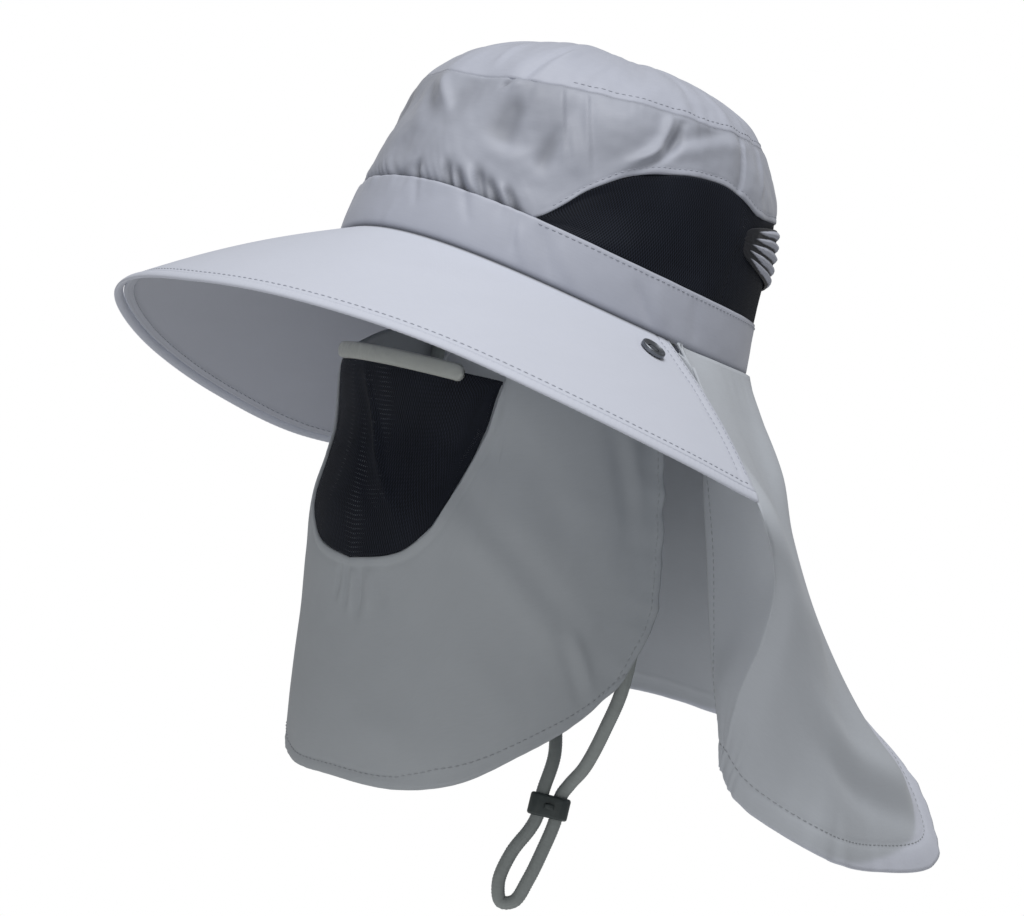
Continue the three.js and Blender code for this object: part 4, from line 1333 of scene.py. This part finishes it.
def brim_point(angle, reach):
    """A place on the brim's form, at degrees round from the front and a share of its width."""
    angle, reach = np.broadcast_arrays(np.asarray(angle, float), np.asarray(reach, float))
    top = crown_point(angle, band_line(angle), BRIM_PROUD)
    a = angle * TURN
    out = along(BRIM_ROWS, "angle", "out", np.abs(angle)) * BRIM_WIDTH
    drop = along(BRIM_ROWS, "angle", "drop", np.abs(angle)) * BRIM_WIDTH
    rim = top + np.stack([out * np.sin(a), -out * np.cos(a), -drop], -1)
    point = top + (rim - top) * reach[..., None]
    point[..., 2] += BRIM_CAMBER * BRIM_WIDTH * np.sin(reach * math.pi) - 2 * GAP
    return point


def brim_angle(share, reach):
    """Degrees round at a share of the way from the right rear edge to the left one."""
    left = BRIM_LEFT_END - reach * BRIM_CORNER_TURN
    right = reach * BRIM_CORNER_TURN - BRIM_RIGHT_END
    return right + share * (left - right)


def brim_at(u, v):
    reach = v * BRIM_REACH
    return brim_point(brim_angle(1 - u, reach), reach)


def brim_length(v):
    """Length of the brim from rear edge to rear edge, which grows towards the rim."""
    return BRIM_SWEEP * (1.75 + v * BRIM_REACH * 1.5)


def brim_relief(u, v):
    to_rim = BRIM_WIDTH * (1 - v * BRIM_REACH)
    to_rear = np.minimum(u, 1 - u) * brim_length(v)
    groove = 0.35 * bump(to_rim - RIM_SEAM, 0.8)
    for distance in REAR_SEAMS:
        groove += 0.3 * bump(to_rear - distance, 0.7)
    x = (u - 0.5) * 400
    return 0.5 * ripple(x * 0.016, v * 1.3, 3.7) * np.sin(v * math.pi / 2) - groove


# Its deep attribute paints shade in the seam line along the headband, and its underside is painted darker as
# shade.
brim = Cloth("brim_cloth_panel", 340, 96, BRIM_WALL, brim_at, brim_cloth, relief=brim_relief,
             deep=lambda u, v: 0.9 * bump(v * BRIM_WIDTH, 1.6), back_shade=BRIM_UNDER_SHADE)
worn(brim.piece, "brim_fabric", "brim")


def rear_lines(distance):
    """Stitch lines beside both rear edges of the brim."""
    v = np.linspace(0.01, 0.93, 300)
    share = distance / brim_length(v)
    return [(share, v), (1 - share, v)]


rim_line = level((1 - RIM_SEAM / BRIM_WIDTH) / BRIM_REACH, 0.004, 0.996, 2500)
rear_pairs = [line for distance in REAR_SEAMS for line in rear_lines(distance)]
seam("brim_stitches", brim, [rim_line, *rear_pairs], "brim_fabric")

under = copy.copy(brim)
under.points = brim.points - brim.normals * BRIM_WALL
under.normals = -brim.normals
seam("brim_under_stitches", under, [rim_line], "brim_fabric")

# %% [markdown]
# ## Rim binding
# A bias-cut strip is folded over the rim. Its section is a soft roll, swept along the rim on the same
# form as the brim, and it puckers a little between its stitches.

# %% Rim binding
BINDING_SIDES = 14
BINDING_STEPS = 700
BINDING_HALF = 2.2
RIM_LENGTH = 640
PUCKER_SHARE = 0.07
PUCKER_PACE = 1400


def rim_binding():
    """The folded strip as a tube along the rim, with both ends closed."""
    share = np.linspace(0, 1, BINDING_STEPS + 1)[:, None]
    a = np.linspace(0, 2 * math.pi, BINDING_SIDES, endpoint=False)
    reach = BINDING_REACH + (0.5 + 0.5 * np.cos(a)) * BINDING_WIDTH / BRIM_WIDTH
    reach = np.broadcast_to(reach, (BINDING_STEPS + 1, BINDING_SIDES))
    roll = np.sign(np.sin(a)) * np.abs(np.sin(a)) ** 0.75
    lift = roll * BINDING_THICKNESS * (0.5 - 0.1 * np.cos(a))
    points = brim_point(brim_angle(share, reach), reach)
    pucker = 1 + PUCKER_SHARE * np.sin(share * PUCKER_PACE) * np.ones_like(a)
    points[..., 2] += lift * pucker - BRIM_WALL / 2
    cut = np.stack(np.broadcast_arrays(a * BINDING_HALF, share * RIM_LENGTH), -1)
    return mesh_piece("rim_binding", points.reshape(-1, 3), ring_faces(BINDING_STEPS, BINDING_SIDES),
                      brim_cloth, cut.reshape(-1, 2))


binding = rim_binding()
edit_all(binding)
bpy.ops.mesh.normals_make_consistent(inside=False)
done()
worn(binding, "brim_fabric", "brim_binding")

# %% [markdown]
# ## Snaps
# A snap's ring is pressed through the brim near each rear corner. By hand it is a short cylinder that
# is bevelled, inset three times and pushed in and out, so that it has a rolled edge, a bowl and the
# small knob in its middle.

# %% Snaps
SNAP_ANGLE = 80
SNAP_REACH = 0.21
SNAP_RADIUS = 5.6 * MM
SNAP_HEIGHT = 1.8 * MM
SNAP_BEVEL = 0.6 * MM
SNAP_EDGE = 1.4 * MM
SNAP_BOWL = 0.9 * MM
SNAP_SLOPE = 0.8 * MM
SNAP_WELL = 0.5 * MM
SNAP_KNOB_INSET = 0.7 * MM
SNAP_KNOB_RISE = 0.7 * MM
SNAP_KNOB_BEVEL = 0.3 * MM


def extrude(height):
    bpy.ops.mesh.extrude_region_move(TRANSFORM_OT_translate={"value": (0, 0, height)})


def snap_ring(name, side):
    """A snap's ring on the brim, on the left with side 1 and on the right with -1."""
    bpy.ops.object.select_all(action="DESELECT")
    bpy.ops.mesh.primitive_cylinder_add(vertices=40, radius=SNAP_RADIUS, depth=SNAP_HEIGHT,
                                        location=(0, 0, SNAP_HEIGHT / 2))
    ring = bpy.context.object
    ring.name = name
    bpy.ops.object.transform_apply(location=True)
    edit(ring, lambda f: f.normal.z > 0.9)
    bpy.ops.mesh.bevel(offset=SNAP_BEVEL, segments=4, affect="EDGES")
    done()
    edit(ring, lambda f: f.normal.z > 0.99 and abs(f.center.x) < NEAR)
    bpy.ops.mesh.inset(thickness=SNAP_EDGE)
    bpy.ops.transform.translate(value=(0, 0, -SNAP_BOWL))
    bpy.ops.mesh.inset(thickness=SNAP_SLOPE)
    extrude(-SNAP_WELL)
    bpy.ops.mesh.inset(thickness=SNAP_KNOB_INSET)
    extrude(SNAP_KNOB_RISE)
    bpy.ops.mesh.bevel(offset=SNAP_KNOB_BEVEL, segments=2, affect="EDGES")
    done()
    centre = brim_point(side * SNAP_ANGLE, SNAP_REACH)
    outward = brim_point(side * SNAP_ANGLE, SNAP_REACH + 0.05) - centre
    sideways = brim_point(side * SNAP_ANGLE + 3, SNAP_REACH) - centre
    normal = np.cross(outward, sideways)
    normal *= np.sign(normal[2]) / np.linalg.norm(normal)
    place = Vector(centre + normal * 2 * GAP) * MM
    turned = Vector((0, 0, 1)).rotation_difference(Vector(normal)).to_matrix().to_4x4()
    settle(ring, Matrix.Translation(place) @ turned)
    finish_hard(ring, 35, snap_metal)
    return ring


worn(snap_ring("snap_ring_left", 1), "snap_metal", "snap_left")
worn(snap_ring("snap_ring_right", -1), "snap_metal", "snap_right")

# %% [markdown]
# ## Neck flap
# The flap hangs from the headband behind the ears. At the front its corners are caught under the brim's
# rear corners, which spreads it like two wings, and its free edges turn back in towards the face.
# It is drawn as seventeen lines down the cloth, from the left free edge round the back to the right
# one. The cloth lies smoothly through them, but for the two ridges, where it is folded sharply.

# %% Flap form
CAPE_SPAN = 160
CAPE_DROP = 188
CAPE_SEAM_REACH = 4
CAPE_LEVELS = (0, 0.2, 0.345, 0.5, 0.65, 0.8, 1)
CAPE_LINES = [
    # top, hem, and at each level the place out to the left and the place back
    (0.175, 0.965, (0.54, 0.555, 0.575, 0.597, 0.62, 0.65, 0.715),
     (0.09, 0.17, 0.205, 0.245, 0.28, 0.31, 0.345)),
    (0.165, 0.975, (0.57, 0.7, 0.79, 0.81, 0.79, 0.74, 0.725),
     (0.05, 0.085, 0.12, 0.175, 0.215, 0.245, 0.33)),
    (0.15, 0.995, (0.6, 0.82, 1, 0.98, 0.94, 0.865, 0.745), (0.03, 0.012, -0.003, 0.12, 0.165, 0.2, 0.32)),
    (0.108, 1.05, (0.522, 0.76, 0.965, 0.985, 0.96, 0.91, 0.8), (0.03, 0.06, 0.08, 0.19, 0.235, 0.27, 0.34)),
    (0.112, 1.122, (0.495, 0.66, 0.82, 0.9, 0.92, 0.93, 0.95), (0.195, 0.24, 0.25, 0.36, 0.44, 0.5, 0.52)),
    (0.112, 1.132, (0.455, 0.61, 0.72, 0.81, 0.855, 0.885, 0.915),
     (0.31, 0.35, 0.38, 0.465, 0.56, 0.67, 0.8)),
    (0.111, 1.075, (0.408, 0.567, 0.633, 0.712, 0.767, 0.81, 0.835),
     (0.4, 0.459, 0.495, 0.558, 0.682, 0.865, 1.115)),
    (0.105, 0.905, (0.33, 0.38, 0.42, 0.463, 0.5, 0.54, 0.628), (0.49, 0.55, 0.61, 0.68, 0.77, 0.87, 1.165)),
    (0.101, 0.825, (0.22, 0.25, 0.275, 0.294, 0.312, 0.33, 0.365),
     (0.572, 0.65, 0.71, 0.78, 0.86, 0.96, 1.175)),
    (0.095, 0.865, (0, 0, 0, 0, 0, 0, 0), (0.636, 0.7, 0.75, 0.82, 0.9, 1.0, 1.18)),
    (0.101, 0.857, (-0.22, -0.23, -0.25, -0.262, -0.275, -0.288, -0.31),
     (0.572, 0.612, 0.645, 0.68, 0.725, 0.78, 0.86)),
    (0.111, 0.985, (-0.408, -0.5, -0.562, -0.606, -0.637, -0.668, -0.69),
     (0.4, 0.42, 0.44, 0.47, 0.515, 0.575, 0.655)),
    (0.112, 1.02, (-0.495, -0.64, -0.79, -0.865, -0.885, -0.89, -0.88),
     (0.25, 0.32, 0.355, 0.395, 0.42, 0.43, 0.455)),
    (0.108, 0.99, (-0.52, -0.74, -0.91, -0.92, -0.9, -0.86, -0.77),
     (0.18, 0.255, 0.31, 0.36, 0.38, 0.39, 0.41)),
    (0.15, 0.965, (-0.6, -0.8, -0.94, -0.915, -0.875, -0.815, -0.715),
     (0.17, 0.235, 0.27, 0.325, 0.35, 0.36, 0.385)),
    (0.165, 0.98, (-0.57, -0.7, -0.78, -0.79, -0.77, -0.73, -0.71),
     (0.15, 0.215, 0.25, 0.29, 0.31, 0.32, 0.37)),
    (0.175, 0.99, (-0.54, -0.555, -0.575, -0.597, -0.62, -0.65, -0.715),
     (0.12, 0.19, 0.22, 0.255, 0.285, 0.315, 0.35)),
]
CAPE_RIDGES = (2, 14)
CAPE_LAST = len(CAPE_LINES) - 1
SEAM_FADE = 0.1


def cape_line(u):
    """The number of the line down the flap that a share across it lies on."""
    return (1 - u) * CAPE_LAST


def cape_at(u, v):
    """Places on the flap. Its seam edge is fitted to the headband's lower edge."""
    levels = v[:, 0]
    lines = []
    for top, hem, outs, backs in CAPE_LINES:
        rows = [{"level": a, "out": b, "back": c} for a, b, c in zip(CAPE_LEVELS, outs, backs)]
        out = along(rows, "level", "out", levels) * CAPE_SPAN
        back = along(rows, "level", "back", levels) * CAPE_SPAN
        lines.append(np.stack([out, back, -(top + levels * (hem - top)) * CAPE_DROP], -1))
    lines = np.stack(lines, 1)
    place = cape_line(u[0])
    ends = (0, *CAPE_RIDGES, CAPE_LAST)
    grid = np.empty((len(levels), len(place), 3))
    for first, last in zip(ends[:-1], ends[1:]):
        here = (place >= first) & (place <= last)
        for j, row in enumerate(lines):
            grid[j, here] = thread_line(row[first:last + 1], (place[here] - first) / (last - first))
    seam_height = band_line(np.arctan2(grid[0, :, 0], -grid[0, :, 1]) / TURN)
    height = grid[0, :, 2]
    short = np.where(height > seam_height - CAPE_SEAM_REACH, seam_height - GAP - height, 0)
    fade = np.clip(1 - levels / SEAM_FADE, 0, 1)[:, None]
    grid[:, :, 2] += short * fade
    return grid


# %% [markdown]
# ## Flap folds
# The folds are given on the cloth: across it as a line's number, from 0 at the left free edge to 16 at
# the right one, and down it as a share. The hem is turned up and stitched, and the thread draws it into
# small puckers.

# %% Flap folds
FLAP_FOLDS = [
    {"start": (3.3, 0.1), "end": (5.6, 0.62), "wide": 0.05, "high": 1.8},
    {"start": (4.2, 0.7), "end": (6.4, 0.86), "wide": 0.035, "high": 2.2},
    {"start": (4.0, 0.78), "end": (6.2, 0.93), "wide": 0.03, "high": -1.6},
    {"start": (5.2, 0.5), "end": (6.3, 0.78), "wide": 0.05, "high": -1.4},
    {"start": (3.6, 0.5), "end": (4.9, 0.58), "wide": 0.03, "high": 0.8},
    {"start": (7.4, 0.05), "end": (7.1, 0.9), "wide": 0.06, "high": 2.5},
    {"start": (8.6, 0.05), "end": (8.5, 0.95), "wide": 0.05, "high": -2.2},
    {"start": (10.0, 0.05), "end": (10.2, 0.95), "wide": 0.05, "high": 2.2},
    {"start": (11.4, 0.05), "end": (11.6, 0.9), "wide": 0.06, "high": -2.0},
    {"start": (1.2, 0.15), "end": (1.4, 0.9), "wide": 0.05, "high": 0.8},
]
FLAP_UNEVEN = [
    {"high": 1.1, "by_x": 3.2, "by_y": 2.4, "seed": 1.7},
    {"high": 0.35, "by_x": 9, "by_y": 7, "seed": 6.6},
]
LINE_WIDTH = 0.11
FLAP_LENGTH = CAPE_DROP * 0.88
HEM_DEPTH = 9.0
TAIL_LINE = 7
# How far up from the hem the painted light reaches round the tail, in millimetres.
TAIL_LIGHT_REACH = 23
TAIL_SPREAD = 1.5
SIDE_SEAM_SHARE = 0.012


def cape_relief(u, v):
    line = cape_line(u)
    x = line * LINE_WIDTH
    to_hem = (1 - v) * FLAP_LENGTH
    lift = folds(widened(FLAP_FOLDS, LINE_WIDTH), x, v) + uneven(FLAP_UNEVEN, x, v)
    lift += 1.1 * ripple(line * 6, to_hem * 0.04, 9.9) * np.exp(-to_hem / 13)
    lift += 0.35 * bump(to_hem - HEM_DEPTH * 0.5, HEM_DEPTH * 0.45) - 0.35 * bump(to_hem - HEM_DEPTH, 0.9)
    lift += np.exp(-v * CAPE_DROP / 7) * 0.6 * ripple(line * 4, v * 2, 3.1)
    return lift * np.clip(v * 25, 0, 1)


def tail_painted_light(u, v):
    """Painted light: a paler band along the hem, widest round the tail, where the cloth flares out and faces
    up to the lamp.
    """
    wide = TAIL_LIGHT_REACH * bump(cape_line(u) - TAIL_LINE, TAIL_SPREAD)
    return 0.9 * (0.5 + 0.5 * np.tanh((wide - (1 - v) * FLAP_LENGTH) / 0.8))


flap = Cloth("neck_flap_cloth", 320, 130, FABRIC_WALL, cape_at, flap_cloth, relief=cape_relief, deep=tail_painted_light)
worn(flap.piece, "flap_fabric", "neck_flap")
flap_edges = [level(1 - HEM_DEPTH / FLAP_LENGTH, 0.004, 0.996, 2500),
              upright(SIDE_SEAM_SHARE, 0.05, 0.95), upright(1 - SIDE_SEAM_SHARE, 0.05, 0.95)]
seam("flap_hem_stitches", flap, flap_edges, "flap_fabric", material=grey_thread)

# %% [markdown]
# ## Face cover
# The cover hangs in front of the nose and mouth and round the cheeks. Its sections are half rounds at
# the front that run straight back past the cheeks. The window for the nose is cut out of its top.

# %% Face cover form
MASK_HALF_WIDTH = 84
MASK_HEIGHT = 172
MASK_TOP = -54
MASK_REAR = 104
VENT_ANGLE = 43.5
VENT_HEIGHT = 83
VENT_RISE = 1.2
VENT_SIDE_GAP = 0.75
VENT_SHARE = 0.5
MASK_SECTIONS = [
    {"down": -0.2, "wide": 0.955, "front": 0.97, "rear": 94},
    {"down": 0, "wide": 0.96, "front": 0.96, "rear": 98},
    {"down": 0.15, "wide": 0.975, "front": 0.87, "rear": 104},
    {"down": 0.24, "wide": 0.985, "front": 0.88, "rear": 107},
    {"down": 0.35, "wide": 0.99, "front": 0.91, "rear": 110},
    {"down": 0.47, "wide": 0.975, "front": 0.87, "rear": 114},
    {"down": 0.6, "wide": 0.95, "front": 0.825, "rear": 110},
    {"down": 0.77, "wide": 0.92, "front": 0.785, "rear": 104},
    {"down": 0.9, "wide": 0.885, "front": 0.745, "rear": 100},
    {"down": 1.02, "wide": 0.85, "front": 0.68, "rear": 98},
]
MASK_HEM = [
    {"round": -1, "down": 0.62}, {"round": -0.91, "down": 0.73}, {"round": -0.76, "down": 0.83},
    {"round": -0.55, "down": 0.925}, {"round": -0.38, "down": 0.968}, {"round": -0.2, "down": 1},
    {"round": 0, "down": 1.005}, {"round": 0.3, "down": 1}, {"round": 0.55, "down": 0.94},
    {"round": 0.76, "down": 0.83}, {"round": 0.91, "down": 0.73}, {"round": 1, "down": 0.62},
]
MASK_UPPER = [
    {"round": 0, "down": 0}, {"round": 0.27, "down": 0}, {"round": 0.36, "down": -0.03},
    {"round": 0.55, "down": -0.07}, {"round": 0.78, "down": -0.14}, {"round": 1, "down": -0.165},
]
VENT_ROWS = [
    {"side": 0, "depth": 1}, {"side": 0.3, "depth": 0.964}, {"side": 0.465, "depth": 0.92},
    {"side": 0.57, "depth": 0.86}, {"side": 0.667, "depth": 0.78}, {"side": 0.717, "depth": 0.7},
    {"side": 0.78, "depth": 0.52}, {"side": 0.853, "depth": 0.324}, {"side": 0.915, "depth": 0.206},
    {"side": 1, "depth": 0},
]


def mask_point(angle, z, proud=0.0):
    """A place on the cover's form: round the face at the front, and straight back past 90 degrees."""
    down = (MASK_TOP - z) / MASK_HEIGHT
    wide = along(MASK_SECTIONS, "down", "wide", down) * MASK_HALF_WIDTH + proud
    front = along(MASK_SECTIONS, "down", "front", down) * MASK_HALF_WIDTH + proud
    a = np.asarray(angle, float) * TURN
    side = np.sin(np.clip(a, -math.pi / 2, math.pi / 2))
    return np.stack([wide * side, -front * np.cos(a), z + 0 * a], -1)


def mask_edge(rows, share):
    """Height of the hem or of the upper edge at shares round the cover."""
    return MASK_TOP - along(rows, "round", "down", share) * MASK_HEIGHT


def vent_edge(angle):
    """Height of the nose window's lower edge."""
    return MASK_TOP - VENT_HEIGHT * along(VENT_ROWS, "side", "depth", np.abs(angle) / VENT_ANGLE)


def mask_place(u, v):
    """Angle and height of a place on the cover's cut."""
    step = 2 * u - 1
    in_vent = np.abs(step) <= VENT_SHARE
    beyond = (np.abs(step) - VENT_SHARE) / (1 - VENT_SHARE)
    near = np.clip(step, -VENT_SHARE, VENT_SHARE)
    inside = (0.6 * np.sin(near * math.pi) + 0.8 * near) * VENT_ANGLE
    top = np.where(in_vent, inside, np.sign(step) * (VENT_ANGLE + beyond * (MASK_REAR - VENT_ANGLE)))
    share = top / MASK_REAR
    low = mask_edge(MASK_HEM, share)
    upper = mask_edge(MASK_UPPER, np.abs(share))
    high = np.where(in_vent, np.minimum(vent_edge(top), upper), upper)
    z = low + v * (high - low)
    rear = along(MASK_SECTIONS, "down", "rear", (MASK_TOP - z) / MASK_HEIGHT)
    widen = np.maximum(np.abs(share) - 0.5, 0) * 2
    return top + np.sign(share) * widen * (rear - MASK_REAR), z, top


def mask_at(u, v):
    angle, z, _ = mask_place(u, v)
    return mask_point(angle, z)


# %% [markdown]
# ## Face cover folds
# The cloth hangs nearly smooth. Two short pleats spread from under the nose window, long soft folds run
# down and back from the brim to the cheek, and the rear edge is drawn into small puckers by its hem.

# %% Face cover folds
MASK_FOLDS = [
    {"start": (-6, -141), "end": (-7, -153), "wide": 1.4, "high": -1.3},
    {"start": (-1, -141), "end": (0, -156), "wide": 1.7, "high": -1.5},
    {"start": (3, -141), "end": (4, -157), "wide": 1.8, "high": 1.2},
    {"start": (8, -141), "end": (8.5, -158), "wide": 1.8, "high": -1.6},
    {"start": (13, -140), "end": (15, -155), "wide": 2.2, "high": 1.0},
    {"start": (20, -138), "end": (23, -152), "wide": 2.4, "high": -0.8},
    {"start": (48, -108), "end": (116, -158), "wide": 8, "high": 1.1},
    {"start": (46, -98), "end": (112, -146), "wide": 7, "high": -1.0},
    {"start": (62, -72), "end": (120, -128), "wide": 9, "high": -0.8},
    {"start": (110, -60), "end": (128, -96), "wide": 5, "high": -1.0},
    {"start": (118, -58), "end": (134, -90), "wide": 4.5, "high": 0.8},
    {"start": (112, -146), "end": (134, -166), "wide": 2.6, "high": 1.0},
    {"start": (108, -152), "end": (128, -172), "wide": 2.8, "high": -0.8},
    {"start": (52, -70), "end": (58, -88), "wide": 5, "high": -0.6},
    {"start": (20, -200), "end": (44, -206), "wide": 8, "high": 0.7},
    {"start": (70, -168), "end": (96, -190), "wide": 8, "high": 0.5},
    {"start": (-60, -100), "end": (-115, -150), "wide": 8, "high": 0.8},
]
MASK_UNEVEN = [
    {"high": 0.8, "by_x": 0.02, "by_y": 0.02, "seed": 2.6},
    {"high": 0.22, "by_x": 0.09, "by_y": 0.07, "seed": 5.4},
]
MASK_DEGREE_WIDTH = 1.4
VENT_EDGE_PLACES = 121
FAR_AWAY = 1000.0
MASK_HEM_SHARE = 0.045


def vent_distance(x, z):
    """How far places on the cover are from the nose window's edge, in millimetres."""
    angles = np.linspace(-VENT_ANGLE, VENT_ANGLE, VENT_EDGE_PLACES)
    nearest = np.full(x.shape, FAR_AWAY)
    for edge_x, edge_z in zip(angles * MASK_DEGREE_WIDTH, vent_edge(angles)):
        nearest = np.minimum(nearest, np.hypot(x - edge_x, z - edge_z))
    return nearest


def mask_relief(u, v):
    angle, z, top = mask_place(u, v)
    x = angle * MASK_DEGREE_WIDTH
    share = top / MASK_REAR
    to_hem = z - mask_edge(MASK_HEM, share)
    to_rear = (1 - np.abs(share)) * MASK_REAR * MASK_DEGREE_WIDTH
    lift = folds(MASK_FOLDS, x, z) + uneven(MASK_UNEVEN, x, z)
    lift += 0.3 * bump(to_hem - 2.2, 1.8) - 0.3 * bump(to_hem - 4.6, 0.8)
    lift += 0.35 * ripple(x * 0.22, to_hem * 0.05, 8.2) * np.exp(-to_hem / 7)
    lift += 1.4 * ripple(z * 0.13, to_rear * 0.04, 4.9) * np.exp(-to_rear / 11)
    lift += 0.3 * bump(to_rear - 2.2, 1.8)
    to_vent = vent_distance(x, z)
    return lift + 0.45 * bump(to_vent - 1.4, 1.5) - 0.25 * bump(to_vent - 4.0, 0.8)


mask = Cloth("face_cover_cloth", 320, 84, FABRIC_WALL, mask_at, mask_cloth, relief=mask_relief)
worn(mask.piece, "mask_fabric", "face_mask")
mask_edges = [level(MASK_HEM_SHARE, 0.004, 0.996, 2000),
              upright(SIDE_SEAM_SHARE, 0.04, 0.97), upright(1 - SIDE_SEAM_SHARE, 0.04, 0.97)]
seam("face_cover_stitches", mask, mask_edges, "mask_fabric", material=grey_thread)

# %% [markdown]
# ## Nose window and nose bar
# The window is filled with the same black net, drawn over a crease that runs down from the bridge of
# the nose. Over its upper edge lies a soft bar, a rolled strip of satin cloth with rounded ends.

# %% Nose window
TRIM_HEIGHT = 6.8
TRIM_RISE = 2.7
TRIM_ANGLE = 31
TRIM_TILT = 2.4
TRIM_PROUD = 2.3
TRIM_WALL = 2.4
VENT_FOLDS = [
    {"start": (-11, -60), "end": (21, -112), "wide": 2, "high": 1.6, "bow": 4.8},
    {"start": (-16, -64), "end": (12, -116), "wide": 4, "high": -1.0, "bow": 4.8},
    {"start": (34, -60), "end": (30, -100), "wide": 6, "high": 0.7},
]
VENT_UNEVEN = [{"high": 0.6, "by_x": 0.06, "by_y": 0.03, "seed": 1.9}]
TRIM_UNEVEN = [
    {"high": 0.25, "by_x": 0.3, "by_y": 1.5, "seed": 3.3},
    {"high": 0.15, "by_x": 0.9, "by_y": 3, "seed": 5.1},
]
TRIM_PUFF = 1.3
TRIM_END = 0.93
TRIM_END_LENGTH = 0.075


def vent_place(u, v):
    """Share of the window's half angle and height of a place on its net."""
    share = np.sin((u - 0.5) * math.pi)
    high = MASK_TOP + VENT_RISE
    low = np.minimum(vent_edge(share * VENT_ANGLE) + 2 * GAP, MASK_TOP)
    return share, low + v * (high - low)


def vent_at(u, v):
    share, z = vent_place(u, v)
    return mask_point(share * (VENT_ANGLE - VENT_SIDE_GAP), z, MESH_SUNK)


def vent_relief(u, v):
    share, z = vent_place(u, v)
    angle = share * VENT_ANGLE
    edge = np.clip(np.minimum(np.minimum(u, 1 - u), np.minimum(v, 1 - v)) * 9, 0, 1)
    return edge * (folds(VENT_FOLDS, angle * MASK_DEGREE_WIDTH, z) + uneven(VENT_UNEVEN, angle, z))


vent = Cloth("nose_net", 110, 70, MESH_WALL, vent_at, net_cloth, relief=vent_relief)
worn(vent.piece, "mesh", "nose_vent")


def trim_at(u, v):
    """Places on the bar, which is narrower at its rounded ends and slants down to the left."""
    angle = (2 * u - 1) * TRIM_ANGLE
    past = np.clip(np.abs(2 * u - 1) - TRIM_END, 0, 1) / TRIM_END_LENGTH
    ends = np.sqrt(np.clip(1 - past**2, 0.05, 1))
    slant = MASK_HALF_WIDTH * angle * TURN * math.tan(TRIM_TILT * TURN)
    return mask_point(angle, MASK_TOP + TRIM_RISE - slant + (v - 0.5) * TRIM_HEIGHT * ends, TRIM_PROUD)


def trim_relief(u, v):
    x = (2 * u - 1) * TRIM_ANGLE * MASK_DEGREE_WIDTH
    puff = TRIM_PUFF * (np.sqrt(np.clip(1 - (2 * v - 1) ** 2, 0, 1)) - 0.6)
    return puff + uneven(TRIM_UNEVEN, x, v)


trim = Cloth("nose_bar", 150, 22, TRIM_WALL, trim_at, trim_cloth, relief=trim_relief)
worn(trim.piece, "trim_fabric", "nose_trim")
